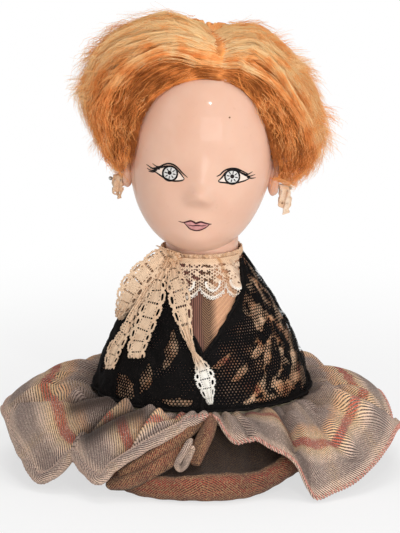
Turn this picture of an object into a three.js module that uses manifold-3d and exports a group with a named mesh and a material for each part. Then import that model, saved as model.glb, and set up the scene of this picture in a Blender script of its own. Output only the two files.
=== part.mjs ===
// Half-figure costume doll: a stuffed dome in a lace shawl and a gathered plaid skirt, with a hollow
// moulded head that turns on a wooden neck post, a mohair wig and two lace earrings that swing on pins.
// Millimetres, +Z up, the doll faces -Y, and the origin is the middle of the base on the table.
import * as THREE from "three";
import { mergeVertices } from "three/addons/utils/BufferGeometryUtils.js";
import Module from "manifold-3d";

const wasm = await Module();
wasm.setup();

// Driving dimensions of the base and the stuffed dome
const GAP = 0.3; // clearance between neighbouring pieces
const FACETS = 24; // sides of the turned pieces
const POST_FACETS = 16; // sides of the slender turned pieces
const BASE_RADIUS = 57;
const COVER_THICKNESS = 1.2;
const BOARD_THICKNESS = 3;
const WAIST_RADIUS = 62.5; // outside of the shawl at its hem
const HEM_HEIGHT = 46;
const NECKLINE_RADIUS = 24.5; // outside of the shawl at its top edge
const NECKLINE_HEIGHT = 124;
const DOME_POWER = 1.5; // how late the dome draws in towards the neck
const LAYER_CLEARANCE = 0.45; // between cloth layers, wide enough for their facets
const BAG_THICKNESS = 0.8;
const BODICE_THICKNESS = 0.8;
const DICKEY_THICKNESS = 0.6;
const SHAWL_THICKNESS = 1;

// Driving dimensions of the neck and its swivel
const POST_RADIUS = 5;
const POST_CLEARANCE = 0.4; // running clearance, wide enough for the facets
const NECK_RADIUS = 21;
const NECK_WALL = 2.2;
const NECK_DEPTH = 8; // how far the neck goes down into the dome
const SEAT_THICKNESS = 6;
const PLUG_LENGTH = 14;
const WASHER_RADIUS = 9;
const WASHER_THICKNESS = 1.5;
const SCREW_RADIUS = 2;
const SCREW_LENGTH = 12;
const SCREW_HEAD_RADIUS = 4;
const SCREW_HEAD_HEIGHT = 2.4;

// Driving dimensions of the head, measured from its centre
const HEAD_ABOVE_NECKLINE = 73;
const HEAD_SHIFT = 1; // the head's centre sits a little to the doll's left
const HEAD_TILT = THREE.MathUtils.degToRad(3.6); // leans towards +X
const HEAD_HALF_WIDTH = 42;
const HEAD_FRONT = 45;
const HEAD_BACK = 48;
const HEAD_UP = 53;
const HEAD_DOWN = 65;
const HEAD_WALL = 2.2;
const SEAM_SETBACK = 27; // from the front of the face to the seam between the two mouldings
const PLAN_POWER = 2.2; // squareness of the head seen from above
const CROWN_POWER = 2.05; // roundness of the top of the head
const JAW_POWER = 2.5; // fullness of the jaw at the sides
const CHIN_POWER = 3.4; // fullness of the lower face in front
const NOSE = { drop: 28, height: 7, half: 6, above: 12, below: 4.5 };
const CHIN = { drop: 54, height: 4.5, half: 13, above: 9, below: 9 };
const EAR = { drop: 25, inset: 0, thick: 4, deep: 7, tall: 12 };
const PIN_RADIUS = 0.5;
const PIN_LENGTH = 9;
const PIN_HEAD_RADIUS = 1.2;
const PIN_BELOW_EAR = 6; // from the middle of the ear down to the pin

// Driving dimensions of the wig
const CAP_CLEARANCE = 1.2; // the cap's coarser facets stay clear of the head
const CAP_THICKNESS = 1.1;
const CAP_EDGE_DROP = 8; // from the head's centre down to the edge of the cap
const PARTING = 7; // the parting is off centre towards +X
const BACK_HAIR_START = 24;
const HAIRLINE = { shift: 0.5, half: 39.5, drop: 5, rise: 43 };
const HAIR_LIFT = 5; // hair stays this far above the earring pins

// Driving dimensions of the lace trimmings
const RIBBON_THICKNESS = 0.8;
const NECK_RIBBON_WIDTH = 5.6;
const RUNNING_GAP = 0.9; // between the turning neck and what is tied round it
const COLLAR_DROP = 17.5;
const COLLAR_SCALLOP = 2.2;
const EARRING_WIDTH = 5.4;
const EYELET_CLEARANCE = 0.5;
const LEFT_EARRING_LENGTH = 13;
const RIGHT_EARRING_LENGTH = 21;

// Driving dimensions of the skirt
const SKIRT_ROOT_DROP = 2; // from the bodice hem to the top of the flounce
const ROOT_TUCK = 2; // the root slopes down this much as it goes in under the bodice
const FLOUNCE_THICKNESS = 1.6;
const TAPE_WIDTH = 3.4;
const TAPE_THICKNESS = 0.8;
const ROLL_RADIUS = 8; // of the rolled hem of the underskirt
const ROLL_REACH = 28; // from the waist out to the middle of the rolled hem
const UNDERSKIRT_THICKNESS = 1.6;

// Heights and radii that follow from those sizes
const BOARD_BOTTOM = COVER_THICKNESS + GAP;
const CORE_BOTTOM = BOARD_BOTTOM + BOARD_THICKNESS + GAP;
const DICKEY_INSET = SHAWL_THICKNESS + LAYER_CLEARANCE;
const BODICE_INSET = DICKEY_INSET + DICKEY_THICKNESS + LAYER_CLEARANCE;
const BAG_INSET = BODICE_INSET + BODICE_THICKNESS + LAYER_CLEARANCE;
const CORE_INSET = BAG_INSET + BAG_THICKNESS + LAYER_CLEARANCE;
const NECK_BOTTOM = NECKLINE_HEIGHT - NECK_DEPTH;
const SEAT_TOP = NECK_BOTTOM - GAP;
const CORE_TOP = SEAT_TOP - SEAT_THICKNESS - GAP;
const PLUG_TOP = NECK_BOTTOM + PLUG_LENGTH;
const WASHER_BOTTOM = PLUG_TOP + GAP;
const SCREW_SEAT = WASHER_BOTTOM + WASHER_THICKNESS + GAP;
const HEAD_CENTRE = new THREE.Vector3(HEAD_SHIFT, 0, NECKLINE_HEIGHT + HEAD_ABOVE_NECKLINE);
const SEAM_Y = SEAM_SETBACK - HEAD_FRONT;
const FLOUNCE_TOP = HEM_HEIGHT - SKIRT_ROOT_DROP;
const TAPE_TOP = FLOUNCE_TOP - ROOT_TUCK - FLOUNCE_THICKNESS - GAP;
const FAR = 400; // larger than the doll, for cutting blocks

// Radius of the dressed dome at a height: upright below the hem, then drawing in to the neckline.
function domeRadius(height) {
  if (height <= HEM_HEIGHT) {
    const rise = Math.sin((Math.max(height, 0) / HEM_HEIGHT) * (Math.PI / 2));
    return BASE_RADIUS + (WAIST_RADIUS - BASE_RADIUS) * rise;
  }
  const share = Math.min((height - HEM_HEIGHT) / (NECKLINE_HEIGHT - HEM_HEIGHT), 1);
  return NECKLINE_RADIUS + (WAIST_RADIUS - NECKLINE_RADIUS) * (1 - share ** DOME_POWER);
}

// A point on the dome, sunk by an inset, at an angle from the front towards +X, in degrees.
function domePoint(angle, height, inset) {
  const turn = THREE.MathUtils.degToRad(angle);
  const radius = domeRadius(height) - inset;
  return new THREE.Vector3(radius * Math.sin(turn), -radius * Math.cos(turn), height);
}

// Turns a mesh into a closed solid, with shared corners merged.
function solid(geometry) {
  const bare = geometry.index ? geometry.toNonIndexed() : geometry.clone();
  bare.deleteAttribute("normal");
  bare.deleteAttribute("uv");
  const merged = mergeVertices(bare, 1e-4);
  return new wasm.Manifold(
    new wasm.Mesh({
      numProp: 3,
      vertProperties: merged.attributes.position.array,
      triVerts: new Uint32Array(merged.index.array),
    }),
  );
}

// Turns a solid back into a mesh geometry.
function geometryOf(body) {
  const mesh = body.getMesh();
  return new THREE.BufferGeometry()
    .setAttribute("position", new THREE.BufferAttribute(mesh.vertProperties, 3))
    .setIndex(new THREE.BufferAttribute(mesh.triVerts, 1));
}

// Spins a closed outline of [radius, height] pairs, listed anticlockwise, about the Z axis.
function turned(outline, facets = FACETS) {
  const points = outline.map(([radius, height]) => new THREE.Vector2(radius, height));
  if (points[0].x > 0) points.push(points[0].clone());
  return new THREE.LatheGeometry(points, facets).rotateX(Math.PI / 2);
}

// A disc or a washer.
function disc(outer, inner, bottom, top, facets = FACETS) {
  return turned([[inner, bottom], [outer, bottom], [outer, top], [inner, top]], facets);
}

// A closed sheet between two surfaces, each a function of two shares that run from 0 to 1.
function sheet(columns, rows, outside, inside, around = false) {
  const positions = [];
  const faces = [];
  const wide = around ? columns : columns + 1;
  for (const surface of [outside, inside])
    for (let i = 0; i < wide; i++)
      for (let j = 0; j <= rows; j++) positions.push(...surface(i / columns, j / rows).toArray());
  const corner = (side, i, j) => (side * wide + (i % wide)) * (rows + 1) + j;
  const quad = (a, b, c, d) => faces.push(a, b, c, a, c, d);
  for (let i = 0; i < columns; i++) {
    for (let j = 0; j < rows; j++) {
      quad(corner(0, i, j), corner(0, i + 1, j), corner(0, i + 1, j + 1), corner(0, i, j + 1));
      quad(corner(1, i, j), corner(1, i, j + 1), corner(1, i + 1, j + 1), corner(1, i + 1, j));
    }
    quad(corner(0, i, 0), corner(1, i, 0), corner(1, i + 1, 0), corner(0, i + 1, 0));
    quad(corner(0, i, rows), corner(0, i + 1, rows), corner(1, i + 1, rows), corner(1, i, rows));
  }
  if (!around)
    for (let j = 0; j < rows; j++) {
      quad(corner(0, 0, j), corner(0, 0, j + 1), corner(1, 0, j + 1), corner(1, 0, j));
      const end = columns;
      quad(corner(0, end, j), corner(1, end, j), corner(1, end, j + 1), corner(0, end, j + 1));
    }
  const made = new THREE.BufferGeometry()
    .setAttribute("position", new THREE.Float32BufferAttribute(positions, 3))
    .setIndex(faces);
  return facingOut(made);
}

// Reverses a closed mesh whose faces point inwards.
function facingOut(geometry) {
  const at = geometry.attributes.position;
  const index = geometry.index.array;
  const [a, b, c] = [new THREE.Vector3(), new THREE.Vector3(), new THREE.Vector3()];
  let volume = 0;
  for (let i = 0; i < index.length; i += 3) {
    a.fromBufferAttribute(at, index[i]);
    b.fromBufferAttribute(at, index[i + 1]);
    c.fromBufferAttribute(at, index[i + 2]);
    volume += a.dot(b.cross(c));
  }
  if (volume < 0)
    for (let i = 0; i < index.length; i += 3) [index[i + 1], index[i + 2]] = [index[i + 2], index[i + 1]];
  return geometry;
}

// Heights at which every layer of the dome has a row of corners, from bottom to top.
const DOME_ROWS = 7; // rows from the bodice hem to the neckline
const SKIRTED_ROWS = 2; // rows below the bodice hem
function domeHeights(bottom, top) {
  const all = [];
  for (let row = 0; row < SKIRTED_ROWS; row++) all.push((HEM_HEIGHT * row) / SKIRTED_ROWS);
  for (let row = 0; row <= DOME_ROWS; row++)
    all.push(HEM_HEIGHT + ((NECKLINE_HEIGHT - HEM_HEIGHT) * row) / DOME_ROWS);
  return [bottom, ...all.filter((height) => height > bottom + GAP && height < top - GAP), top];
}

// The outline of a layer of the dome, sunk by an inset, from bottom to top.
function domeOutline(bottom, top, inset) {
  return domeHeights(bottom, top).map((height) => [domeRadius(height) - inset, height]);
}

// A cloth shell that follows the dome between two heights.
function domeShell(bottom, top, inset, thickness) {
  const outer = domeOutline(bottom, top, inset);
  const inner = domeOutline(bottom, top, inset + thickness).reverse();
  return turned([...outer, ...inner]);
}

// A block that fills the half of space on one side of a plane across an axis.
function halfSpace(axis, position, side) {
  const block = new THREE.BoxGeometry(FAR, FAR, FAR);
  const centre = new THREE.Vector3();
  centre[axis] = position + (side * FAR) / 2;
  if (axis !== "z") centre.z = FAR / 2;
  return solid(block.translate(centre.x, centre.y, centre.z));
}

// An ellipsoid with its poles along Z.
function ellipsoid(centre, radii, columns, rows) {
  return solid(
    new THREE.SphereGeometry(1, columns, rows)
      .rotateX(Math.PI / 2)
      .scale(radii.x, radii.y, radii.z)
      .translate(centre.x, centre.y, centre.z),
  );
}

// Moves a solid from the head's own frame, centred and upright, to its leaning place on the neck.
function placedOnNeck(body) {
  const place = new THREE.Matrix4().makeRotationY(HEAD_TILT).setPosition(HEAD_CENTRE);
  return body.transform(place.elements);
}

// A point of the head's own frame in its leaning place.
function headToDoll(point) {
  return point.clone().applyAxisAngle(new THREE.Vector3(0, 1, 0), HEAD_TILT).add(HEAD_CENTRE);
}

const doll = new THREE.Group();

// Adds one named sub-part in its own finish.
function add(name, geometry, color, roughness, metalness = 0) {
  const finish = new THREE.MeshStandardMaterial({ color, roughness, metalness });
  const mesh = new THREE.Mesh(geometry, finish);
  mesh.name = name;
  doll.add(mesh);
}

// Base: a felt circle under a stiff card disc
add("base_cover", disc(BASE_RADIUS, 0, 0, COVER_THICKNESS), 0x5d4a3f, 0.95);
const boardTop = BOARD_BOTTOM + BOARD_THICKNESS;
add("base_board", disc(BASE_RADIUS - GAP, 0, BOARD_BOTTOM, boardTop), 0xb79a72, 0.9);

// Stuffed dome: wadding round the post, inside a calico bag that is open at both ends
const coreBore = POST_RADIUS + POST_CLEARANCE;
const coreOutline = [
  [coreBore, CORE_BOTTOM],
  ...domeOutline(CORE_BOTTOM, CORE_TOP, CORE_INSET),
  [coreBore, CORE_TOP],
];
add("body_core", turned(coreOutline), 0xe6dcc8, 0.95);
const bagTop = NECK_BOTTOM - GAP;
add("body_bag", domeShell(CORE_BOTTOM, bagTop, BAG_INSET, BAG_THICKNESS), 0xd9cbb0, 0.95);

// Neck post, the seat that carries the head, and the screw and washer that keep the head on
const postTop = PLUG_TOP;
const pilot = SCREW_RADIUS + POST_CLEARANCE;
const screwTip = SCREW_SEAT - SCREW_LENGTH;
add(
  "neck_post",
  turned([
    [0, CORE_BOTTOM],
    [POST_RADIUS, CORE_BOTTOM],
    [POST_RADIUS, postTop],
    [pilot, postTop],
    [pilot, screwTip - GAP],
    [0, screwTip - GAP],
  ], POST_FACETS),
  0xc9a878,
  0.75,
);
const seatBore = POST_RADIUS + POST_CLEARANCE;
add("neck_seat", disc(NECK_RADIUS, seatBore, SEAT_TOP - SEAT_THICKNESS, SEAT_TOP), 0xc9a878, 0.75);
const washerTop = WASHER_BOTTOM + WASHER_THICKNESS;
add("post_washer", disc(WASHER_RADIUS, pilot, WASHER_BOTTOM, washerTop, POST_FACETS), 0xb8b8b4, 0.35, 1);
add(
  "post_screw",
  turned([
    [0, screwTip],
    [SCREW_RADIUS, screwTip],
    [SCREW_RADIUS, SCREW_SEAT],
    [SCREW_HEAD_RADIUS, SCREW_SEAT],
    [SCREW_HEAD_RADIUS, SCREW_SEAT + SCREW_HEAD_HEIGHT],
    [0, SCREW_SEAT + SCREW_HEAD_HEIGHT],
  ], POST_FACETS),
  0xb9a25a,
  0.35,
  1,
);

// Copper-brown bodice under the lace
add(
  "underbodice",
  domeShell(HEM_HEIGHT, NECKLINE_HEIGHT, BODICE_INSET, BODICE_THICKNESS),
  0x7a4a2c,
  0.7,
);

// Front opening of the shawl: a curved V, given by half its angle at a height, in degrees
const OPENING_DROP = 48; // from the neckline to the point of the V
const OPENING_WIDEST = 61;
const OPENING_POWER = 1.55;
const OPENING_ROWS = 12;
const OPENING_POINT = NECKLINE_HEIGHT - OPENING_DROP;
function openingHalfWidth(height) {
  const share = Math.min(Math.max((height - OPENING_POINT) / OPENING_DROP, 0), 1);
  return domeRadius(height) * Math.sin(THREE.MathUtils.degToRad(OPENING_WIDEST * share ** OPENING_POWER));
}

// Sweeps an outline in the XZ plane, a list of [x, z] listed anticlockwise, forwards from the axis.
function frontPrism(outline) {
  const shape = new THREE.Shape(outline.map(([x, z]) => new THREE.Vector2(x, z)));
  return solid(new THREE.ExtrudeGeometry(shape, { depth: FAR, bevelEnabled: false }).rotateX(Math.PI / 2));
}

// The V as a prism, with its edges moved outwards by a margin and its point moved down by a tail.
function openingPrism(margin, tail) {
  const right = [];
  const bottom = OPENING_POINT - tail;
  for (let row = 0; row <= OPENING_ROWS; row++) {
    const height = bottom + ((NECKLINE_HEIGHT + GAP - bottom) * row) / OPENING_ROWS;
    right.push([Math.max(openingHalfWidth(height) + margin, GAP / 2), height]);
  }
  const left = right.map(([x, z]) => [-x, z]).reverse();
  return frontPrism([...right, ...left]);
}

// Lace shawl: one piece round the back, whose two fronts meet edge to edge below the V
const shawlShell = solid(domeShell(HEM_HEIGHT, NECKLINE_HEIGHT, 0, SHAWL_THICKNESS));
const slit = [[-GAP / 2, 0], [GAP / 2, 0], [GAP / 2, NECKLINE_HEIGHT], [-GAP / 2, NECKLINE_HEIGHT]];
const shawl = shawlShell.subtract(openingPrism(0, 0)).subtract(frontPrism(slit));
add("lace_shawl", geometryOf(shawl), 0x16130f, 0.8);

// Pleated net dickey that fills the V and runs a little way under the shawl
const DICKEY_UNDERLAP = 3.5;
const DICKEY_TAIL = 5; // below the point of the V
const dickeyShell = solid(domeShell(HEM_HEIGHT, NECKLINE_HEIGHT, DICKEY_INSET, DICKEY_THICKNESS));
const dickey = dickeyShell.intersect(openingPrism(DICKEY_UNDERLAP, DICKEY_TAIL));
add("dickey", geometryOf(dickey), 0x4b3024, 0.8);

// Scalloped lace collar inside the V, at the level of the shawl
const SCALLOP_WIDTH = 9;
const SCALLOP_STEPS = 4;
function scallopPrism() {
  const reach = SCALLOP_WIDTH * 4;
  const outline = [];
  for (let step = 0; step <= 8 * SCALLOP_STEPS; step++) {
    const across = -reach + (SCALLOP_WIDTH * step) / SCALLOP_STEPS;
    const swing = COLLAR_SCALLOP * Math.abs(Math.sin((Math.PI * across) / SCALLOP_WIDTH));
    outline.push([across, NECKLINE_HEIGHT - COLLAR_DROP + COLLAR_SCALLOP - swing]);
  }
  outline.push([reach, NECKLINE_HEIGHT + GAP], [-reach, NECKLINE_HEIGHT + GAP]);
  return frontPrism(outline);
}
const collarShell = solid(domeShell(HEM_HEIGHT, NECKLINE_HEIGHT, GAP, SHAWL_THICKNESS - GAP));
const collar = collarShell.intersect(openingPrism(-2 * GAP, 0)).intersect(scallopPrism());
add("lace_collar", geometryOf(collar), 0xd8c3a0, 0.85);

// Lace ribbon tied round the neck, with its knot, a loop and three tails that lie on the shawl
const ribbonBottom = NECKLINE_HEIGHT + GAP;
const ribbonInside = NECK_RADIUS + RUNNING_GAP;
const ribbonOutside = ribbonInside + RIBBON_THICKNESS;
const ribbonTop = ribbonBottom + NECK_RIBBON_WIDTH;
add("neck_ribbon", disc(ribbonOutside, ribbonInside, ribbonBottom, ribbonTop), 0xd9bf98, 0.85);

const KNOT_ANGLE = -39;
const KNOT = { wide: 5.5, thick: 3.2, tall: 3.6 };
function knot() {
  const turn = THREE.MathUtils.degToRad(KNOT_ANGLE);
  const away = ribbonOutside + GAP + KNOT.thick;
  const ball = new THREE.SphereGeometry(1, 10, 7).rotateX(Math.PI / 2);
  ball.scale(KNOT.wide, KNOT.thick, KNOT.tall).rotateZ(turn);
  return ball.translate(away * Math.sin(turn), -away * Math.cos(turn), ribbonBottom + KNOT.tall);
}
add("ribbon_knot", knot(), 0xd9bf98, 0.85);

// A ribbon that lies on the dome. Each stop is [angle, drop below the neckline, width].
function ribbon(stops, lift, steps) {
  const path = new THREE.CatmullRomCurve3(stops.map((stop) => new THREE.Vector3(...stop)));
  const face = (rise) => (across, along) => {
    const [angle, drop, width] = path.getPoint(along).toArray();
    const ahead = path.getTangent(along);
    const height = NECKLINE_HEIGHT - drop;
    const perDegree = THREE.MathUtils.degToRad(domeRadius(height));
    const run = new THREE.Vector2(ahead.x * perDegree, ahead.y).normalize();
    const side = (across - 0.5) * width;
    return domePoint(angle + (side * run.y) / perDegree, height + side * run.x, -lift - rise);
  };
  return sheet(3, steps, face(RIBBON_THICKNESS), face(0));
}
const RIBBON_COLOUR = 0xdcc29b;
const layer = (level) => GAP + level * (RIBBON_THICKNESS + GAP);
const LOOP_STOPS = [[-64, 5, 9], [-70, 12, 14], [-77, 22, 15], [-84, 30, 12], [-90, 36, 7]];
const LEFT_STOPS = [[-52, 7, 7], [-55, 18, 8], [-58, 30, 9], [-59, 41, 11], [-63, 52, 13], [-61, 62, 12]];
const MIDDLE_STOPS = [[-46, 9, 7], [-42, 18, 13], [-42, 31, 15], [-43, 42, 15], [-41, 51, 9]];
const RIGHT_STOPS = [
  [-33, 6, 9], [-23, 13, 12], [-16, 24, 11], [-9, 37, 7], [-5, 46, 4], [2, 59, 9], [4, 72, 5],
];
add("ribbon_loop", ribbon(LOOP_STOPS, layer(0), 10), RIBBON_COLOUR, 0.85);
add("ribbon_tail_left", ribbon(LEFT_STOPS, layer(1), 12), RIBBON_COLOUR, 0.85);
add("ribbon_tail_middle", ribbon(MIDDLE_STOPS, layer(2), 10), RIBBON_COLOUR, 0.85);
add("ribbon_tail_right", ribbon(RIGHT_STOPS, layer(0), 14), 0xe6d6b8, 0.85);

// Skirt. Each fold of the flounce is [angle of its hem from the front, reach beyond the waist, height,
// angle of its root, billow above the root]. The front is caught up under the bodice, and the hem falls
// away from there to both sides in oblique folds.
const FRONT_FOLDS = [
  [-118, 50, 24, -118, 9], [-104, 52, 31, -108, 16], [-93, 53, 31, -98, 15], [-86, 54, 33, -91, 6],
  [-81, 54, 33, -85, 14], [-77, 54, 32, -70, -3], [-72, 54, 28, -50, 12], [-62, 54, 19, -46, 9],
  [-55, 54, 10, -42, 1], [-51, 50, 13, -37, -2], [-47, 39, 23, -29, 9], [-40, 43, 18, -25, 6],
  [-33, 47, 14, -20, 3], [-30, 40, 23, -15, 5], [-24, 34, 32, -11, 6], [-16, 27, 40, -7, 7],
  [-7, 18, 46, -3, 7], [0, 12, 47, 1, 6], [6, 11, 45, 5, 4], [10, 16, 38, 9, 3],
  [14, 21, 33, 14, 6], [20, 25, 35, 20, 8], [25, 29, 31, 25, 2], [30, 34, 26, 30, 8],
  [32.6, 39, 20, 34, 9], [33.8, 48, 8, 38, 9], [35, 53, 3, 42, 10], [41, 53, 5, 46, 9],
  [51, 54, 10, 54, 11], [58, 54, 15, 61, 8], [67, 54, 21, 70, 12], [75, 53, 25, 78, 9],
  [84, 53, 25, 87, 14], [96, 50, 19, 97, 8], [107, 50, 27, 107, 15], [116, 51, 29, 117, 10],
];
const BACK_WAVES = 5;
const BACK_WAVE = { reach: 50, reachSwing: 2.5, height: 17, heightSwing: 11, billow: 9, billowSwing: 5 };
const BACK_FROM = 126;
const BACK_TO = 234;
const BILLOW_REACH = 0.6; // share of the way out where it billows
function allFolds() {
  const stops = BACK_WAVES * 2;
  const folds = [...FRONT_FOLDS];
  for (let stop = 0; stop <= stops; stop++) {
    const swing = stop % 2 ? 1 : -1;
    const angle = BACK_FROM + ((BACK_TO - BACK_FROM) * stop) / stops;
    const reach = BACK_WAVE.reach - swing * BACK_WAVE.reachSwing;
    const height = BACK_WAVE.height + swing * BACK_WAVE.heightSwing;
    folds.push([angle, reach, height, angle, BACK_WAVE.billow + swing * BACK_WAVE.billowSwing]);
  }
  const [angle, reach, height, root, billow] = FRONT_FOLDS[0];
  folds.push([angle + 360, reach, height, root + 360, billow]);
  return folds;
}
const folds = allFolds();
const foldCurve = (points) => new THREE.CatmullRomCurve3(points, false, "centripetal");
const hemLine = foldCurve(folds.map((fold) => new THREE.Vector3(fold[0], fold[1], fold[2])));
const rootLine = foldCurve(folds.map((fold) => new THREE.Vector3(fold[3], fold[4], 0)));
const skirtRoot = WAIST_RADIUS - BAG_INSET + GAP;
const skirtEdge = WAIST_RADIUS + GAP; // where the cloth comes out from under the shawl
const FLOUNCE_COLUMNS = 2 * (folds.length - 1);
const FLOUNCE_ROWS = 5;
function flouncePoint(around, row, sink) {
  const fold = hemLine.getPoint(around);
  const root = rootLine.getPoint(around);
  const out = Math.max((row * FLOUNCE_ROWS - 1) / (FLOUNCE_ROWS - 1), 0);
  const turn = THREE.MathUtils.degToRad(root.x + (fold.x - root.x) * out);
  const place = (radius, height) =>
    new THREE.Vector3(radius * Math.sin(turn), -radius * Math.cos(turn), Math.max(height - sink, 0));
  if (row === 0) return place(skirtRoot, FLOUNCE_TOP - ROOT_TUCK);
  const hemRadius = WAIST_RADIUS + fold.y;
  const billowRadius = skirtEdge + (hemRadius - skirtEdge) * BILLOW_REACH;
  const [near, middle, far] = [(1 - out) ** 2, 2 * out * (1 - out), out ** 2];
  const radius = near * skirtEdge + middle * billowRadius + far * hemRadius;
  const height = near * FLOUNCE_TOP + middle * (FLOUNCE_TOP + root.y) + far * fold.z;
  return place(radius - (sink * out) / 2, height);
}
const flounceTop = (around, out) => flouncePoint(around, out, 0);
const flounceUnder = (around, out) => flouncePoint(around, out, FLOUNCE_THICKNESS);
const flounce = sheet(FLOUNCE_COLUMNS, FLOUNCE_ROWS, flounceTop, flounceUnder, true);
add("skirt_flounce", flounce, 0x9c8168, 0.95);

// Tape that holds the gathers, between the two layers of the skirt
const tapeBottom = TAPE_TOP - TAPE_WIDTH;
add("waist_tape", disc(skirtRoot + TAPE_THICKNESS, skirtRoot, tapeBottom, TAPE_TOP), 0x6b5a4a, 0.9);

// Underskirt: slopes out from the waist and ends in a fat rolled hem that lies on the table
function underskirt() {
  const top = tapeBottom - GAP;
  const rollCentre = WAIST_RADIUS + ROLL_REACH;
  const sag = 3; // how far the slope hangs below a straight line
  const from = 0.28 * Math.PI; // where the slope runs into the roll
  const start = [rollCentre + ROLL_RADIUS * Math.cos(from), ROLL_RADIUS + ROLL_RADIUS * Math.sin(from)];
  const outline = [];
  const arcs = 7;
  for (let arc = 0; arc <= arcs; arc++) {
    const turn = -1.15 * Math.PI + ((from + 1.15 * Math.PI) * arc) / arcs;
    const bend = [Math.cos(turn) * ROLL_RADIUS, Math.sin(turn) * ROLL_RADIUS];
    outline.push([rollCentre + bend[0], Math.max(ROLL_RADIUS + bend[1], 0)]);
  }
  const middle = [(skirtRoot + start[0]) / 2, (top + start[1]) / 2 - sag];
  outline.push(middle, [skirtRoot, top], [skirtRoot, top - UNDERSKIRT_THICKNESS]);
  outline.push([middle[0], middle[1] - UNDERSKIRT_THICKNESS]);
  return turned(outline);
}
add("underskirt", underskirt(), 0x7d5a44, 0.95);

// A bump on the face that pushes the surface forward
function bump(point, form) {
  const above = point.z + form.drop;
  const tall = above > 0 ? form.above : form.below;
  return point.y < 0 ? form.height * Math.exp(-((point.x / form.half) ** 2) - (above / tall) ** 2) : 0;
}

// A point of the head's surface in its own frame, swelled outwards or inwards by an even amount
function headPoint(direction, swell, features) {
  const depth = (direction.y < 0 ? HEAD_FRONT : HEAD_BACK) + swell;
  const across = Math.abs(direction.x) / (HEAD_HALF_WIDTH + swell);
  const plan = (across ** PLAN_POWER + Math.abs(direction.y / depth) ** PLAN_POWER) ** (1 / PLAN_POWER);
  const below = direction.z < 0;
  const rise = Math.abs(direction.z) / ((below ? HEAD_DOWN : HEAD_UP) + swell);
  const flat = Math.hypot(direction.x, direction.y) || 1;
  const ahead = (Math.max(-direction.y, 0) / flat) ** 2;
  const power = below ? JAW_POWER + (CHIN_POWER - JAW_POWER) * ahead : CROWN_POWER;
  const point = direction.clone().multiplyScalar((plan ** power + rise ** power) ** (-1 / power));
  if (features) point.y -= bump(point, NOSE) + bump(point, CHIN);
  return point;
}

// The head as a solid in its own frame. Crowding draws its columns closer together across the face.
const FACE_CROWDING = 0.5;
function headSolid(columns, rows, swell, features, crowding = 0) {
  const ball = new THREE.SphereGeometry(1, columns, rows).rotateX(Math.PI / 2);
  const at = ball.attributes.position;
  const point = new THREE.Vector3();
  for (let i = 0; i < at.count; i++) {
    point.fromBufferAttribute(at, i);
    const flat = Math.hypot(point.x, point.y);
    const turn = Math.atan2(point.x, -point.y);
    const drawn = turn - crowding * Math.sin(turn);
    const direction = new THREE.Vector3(flat * Math.sin(drawn), -flat * Math.cos(drawn), point.z);
    at.setXYZ(i, ...headPoint(direction, swell, features).toArray());
  }
  return solid(ball);
}

// The middle of an ear, the pin through it, and the pieces cut for them. Side is -1 or 1.
const earMiddle = (side) => new THREE.Vector3(side * (HEAD_HALF_WIDTH - EAR.inset), 0, -EAR.drop);
const ear = (side) =>
  ellipsoid(earMiddle(side), new THREE.Vector3(EAR.thick, EAR.deep, EAR.tall), 10, 8);
const earEdge = EAR.thick * Math.sqrt(1 - (PIN_BELOW_EAR / EAR.tall) ** 2);
const pinRoot = (side) =>
  headToDoll(earMiddle(side).add(new THREE.Vector3(side * earEdge, 0, -PIN_BELOW_EAR)));
const PIN_GRIP = 2.4; // how deep the pin goes into the ear

// A round bar along X, from a point outwards on one side
function crossBar(from, side, radius, length) {
  const bar = new THREE.CylinderGeometry(radius, radius, length, 8).rotateZ(Math.PI / 2);
  return bar.translate(from.x + (side * length) / 2, from.y, from.z);
}

// Head: two hollow mouldings that meet at a seam in front of the ears, the rear one with the neck
const neckSleeve = solid(disc(NECK_RADIUS, 0, NECK_BOTTOM, NECK_BOTTOM + FAR));
const neckTop = HEAD_CENTRE.z - HEAD_DOWN + NECK_RADIUS / 2;
const neckOuter = solid(disc(NECK_RADIUS, 0, NECK_BOTTOM, neckTop));
const neckBore = solid(disc(NECK_RADIUS - NECK_WALL, 0, NECK_BOTTOM - GAP, neckTop + HEAD_WALL));
const HEAD_COLUMNS = 28;
const HEAD_ROWS = 20;
const roundHead = headSolid(HEAD_COLUMNS, HEAD_ROWS, 0, true, FACE_CROWDING).add(ear(-1)).add(ear(1));
const hollow = headSolid(HEAD_COLUMNS / 2, HEAD_ROWS / 2, -HEAD_WALL, false);
const pinHole = (side) => {
  const start = pinRoot(side);
  start.x -= side * (PIN_GRIP + GAP);
  return solid(crossBar(start, side, PIN_RADIUS + GAP, PIN_LENGTH));
};
const headShell = placedOnNeck(roundHead)
  .add(neckOuter)
  .subtract(placedOnNeck(hollow).add(neckBore))
  .subtract(pinHole(-1))
  .subtract(pinHole(1));
const inFront = (seam) => halfSpace("y", seam, -1);
const neckClear = solid(disc(NECK_RADIUS + GAP, 0, NECK_BOTTOM - GAP, NECK_BOTTOM + FAR));
const faceShell = headShell.intersect(inFront(SEAM_Y - GAP / 2)).subtract(neckClear);
const rearShell = headShell.subtract(inFront(SEAM_Y + GAP / 2).subtract(neckSleeve));
const SKIN = 0xe2b394;
add("head_front_shell", geometryOf(faceShell), SKIN, 0.25);
add("head_back_shell", geometryOf(rearShell), SKIN, 0.25);

// Wooden plug glued into the neck, which turns on the post
const plugRadius = NECK_RADIUS - NECK_WALL - GAP;
add("neck_plug", disc(plugRadius, POST_RADIUS + POST_CLEARANCE, NECK_BOTTOM, PLUG_TOP), 0xc9a878, 0.75);

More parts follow.
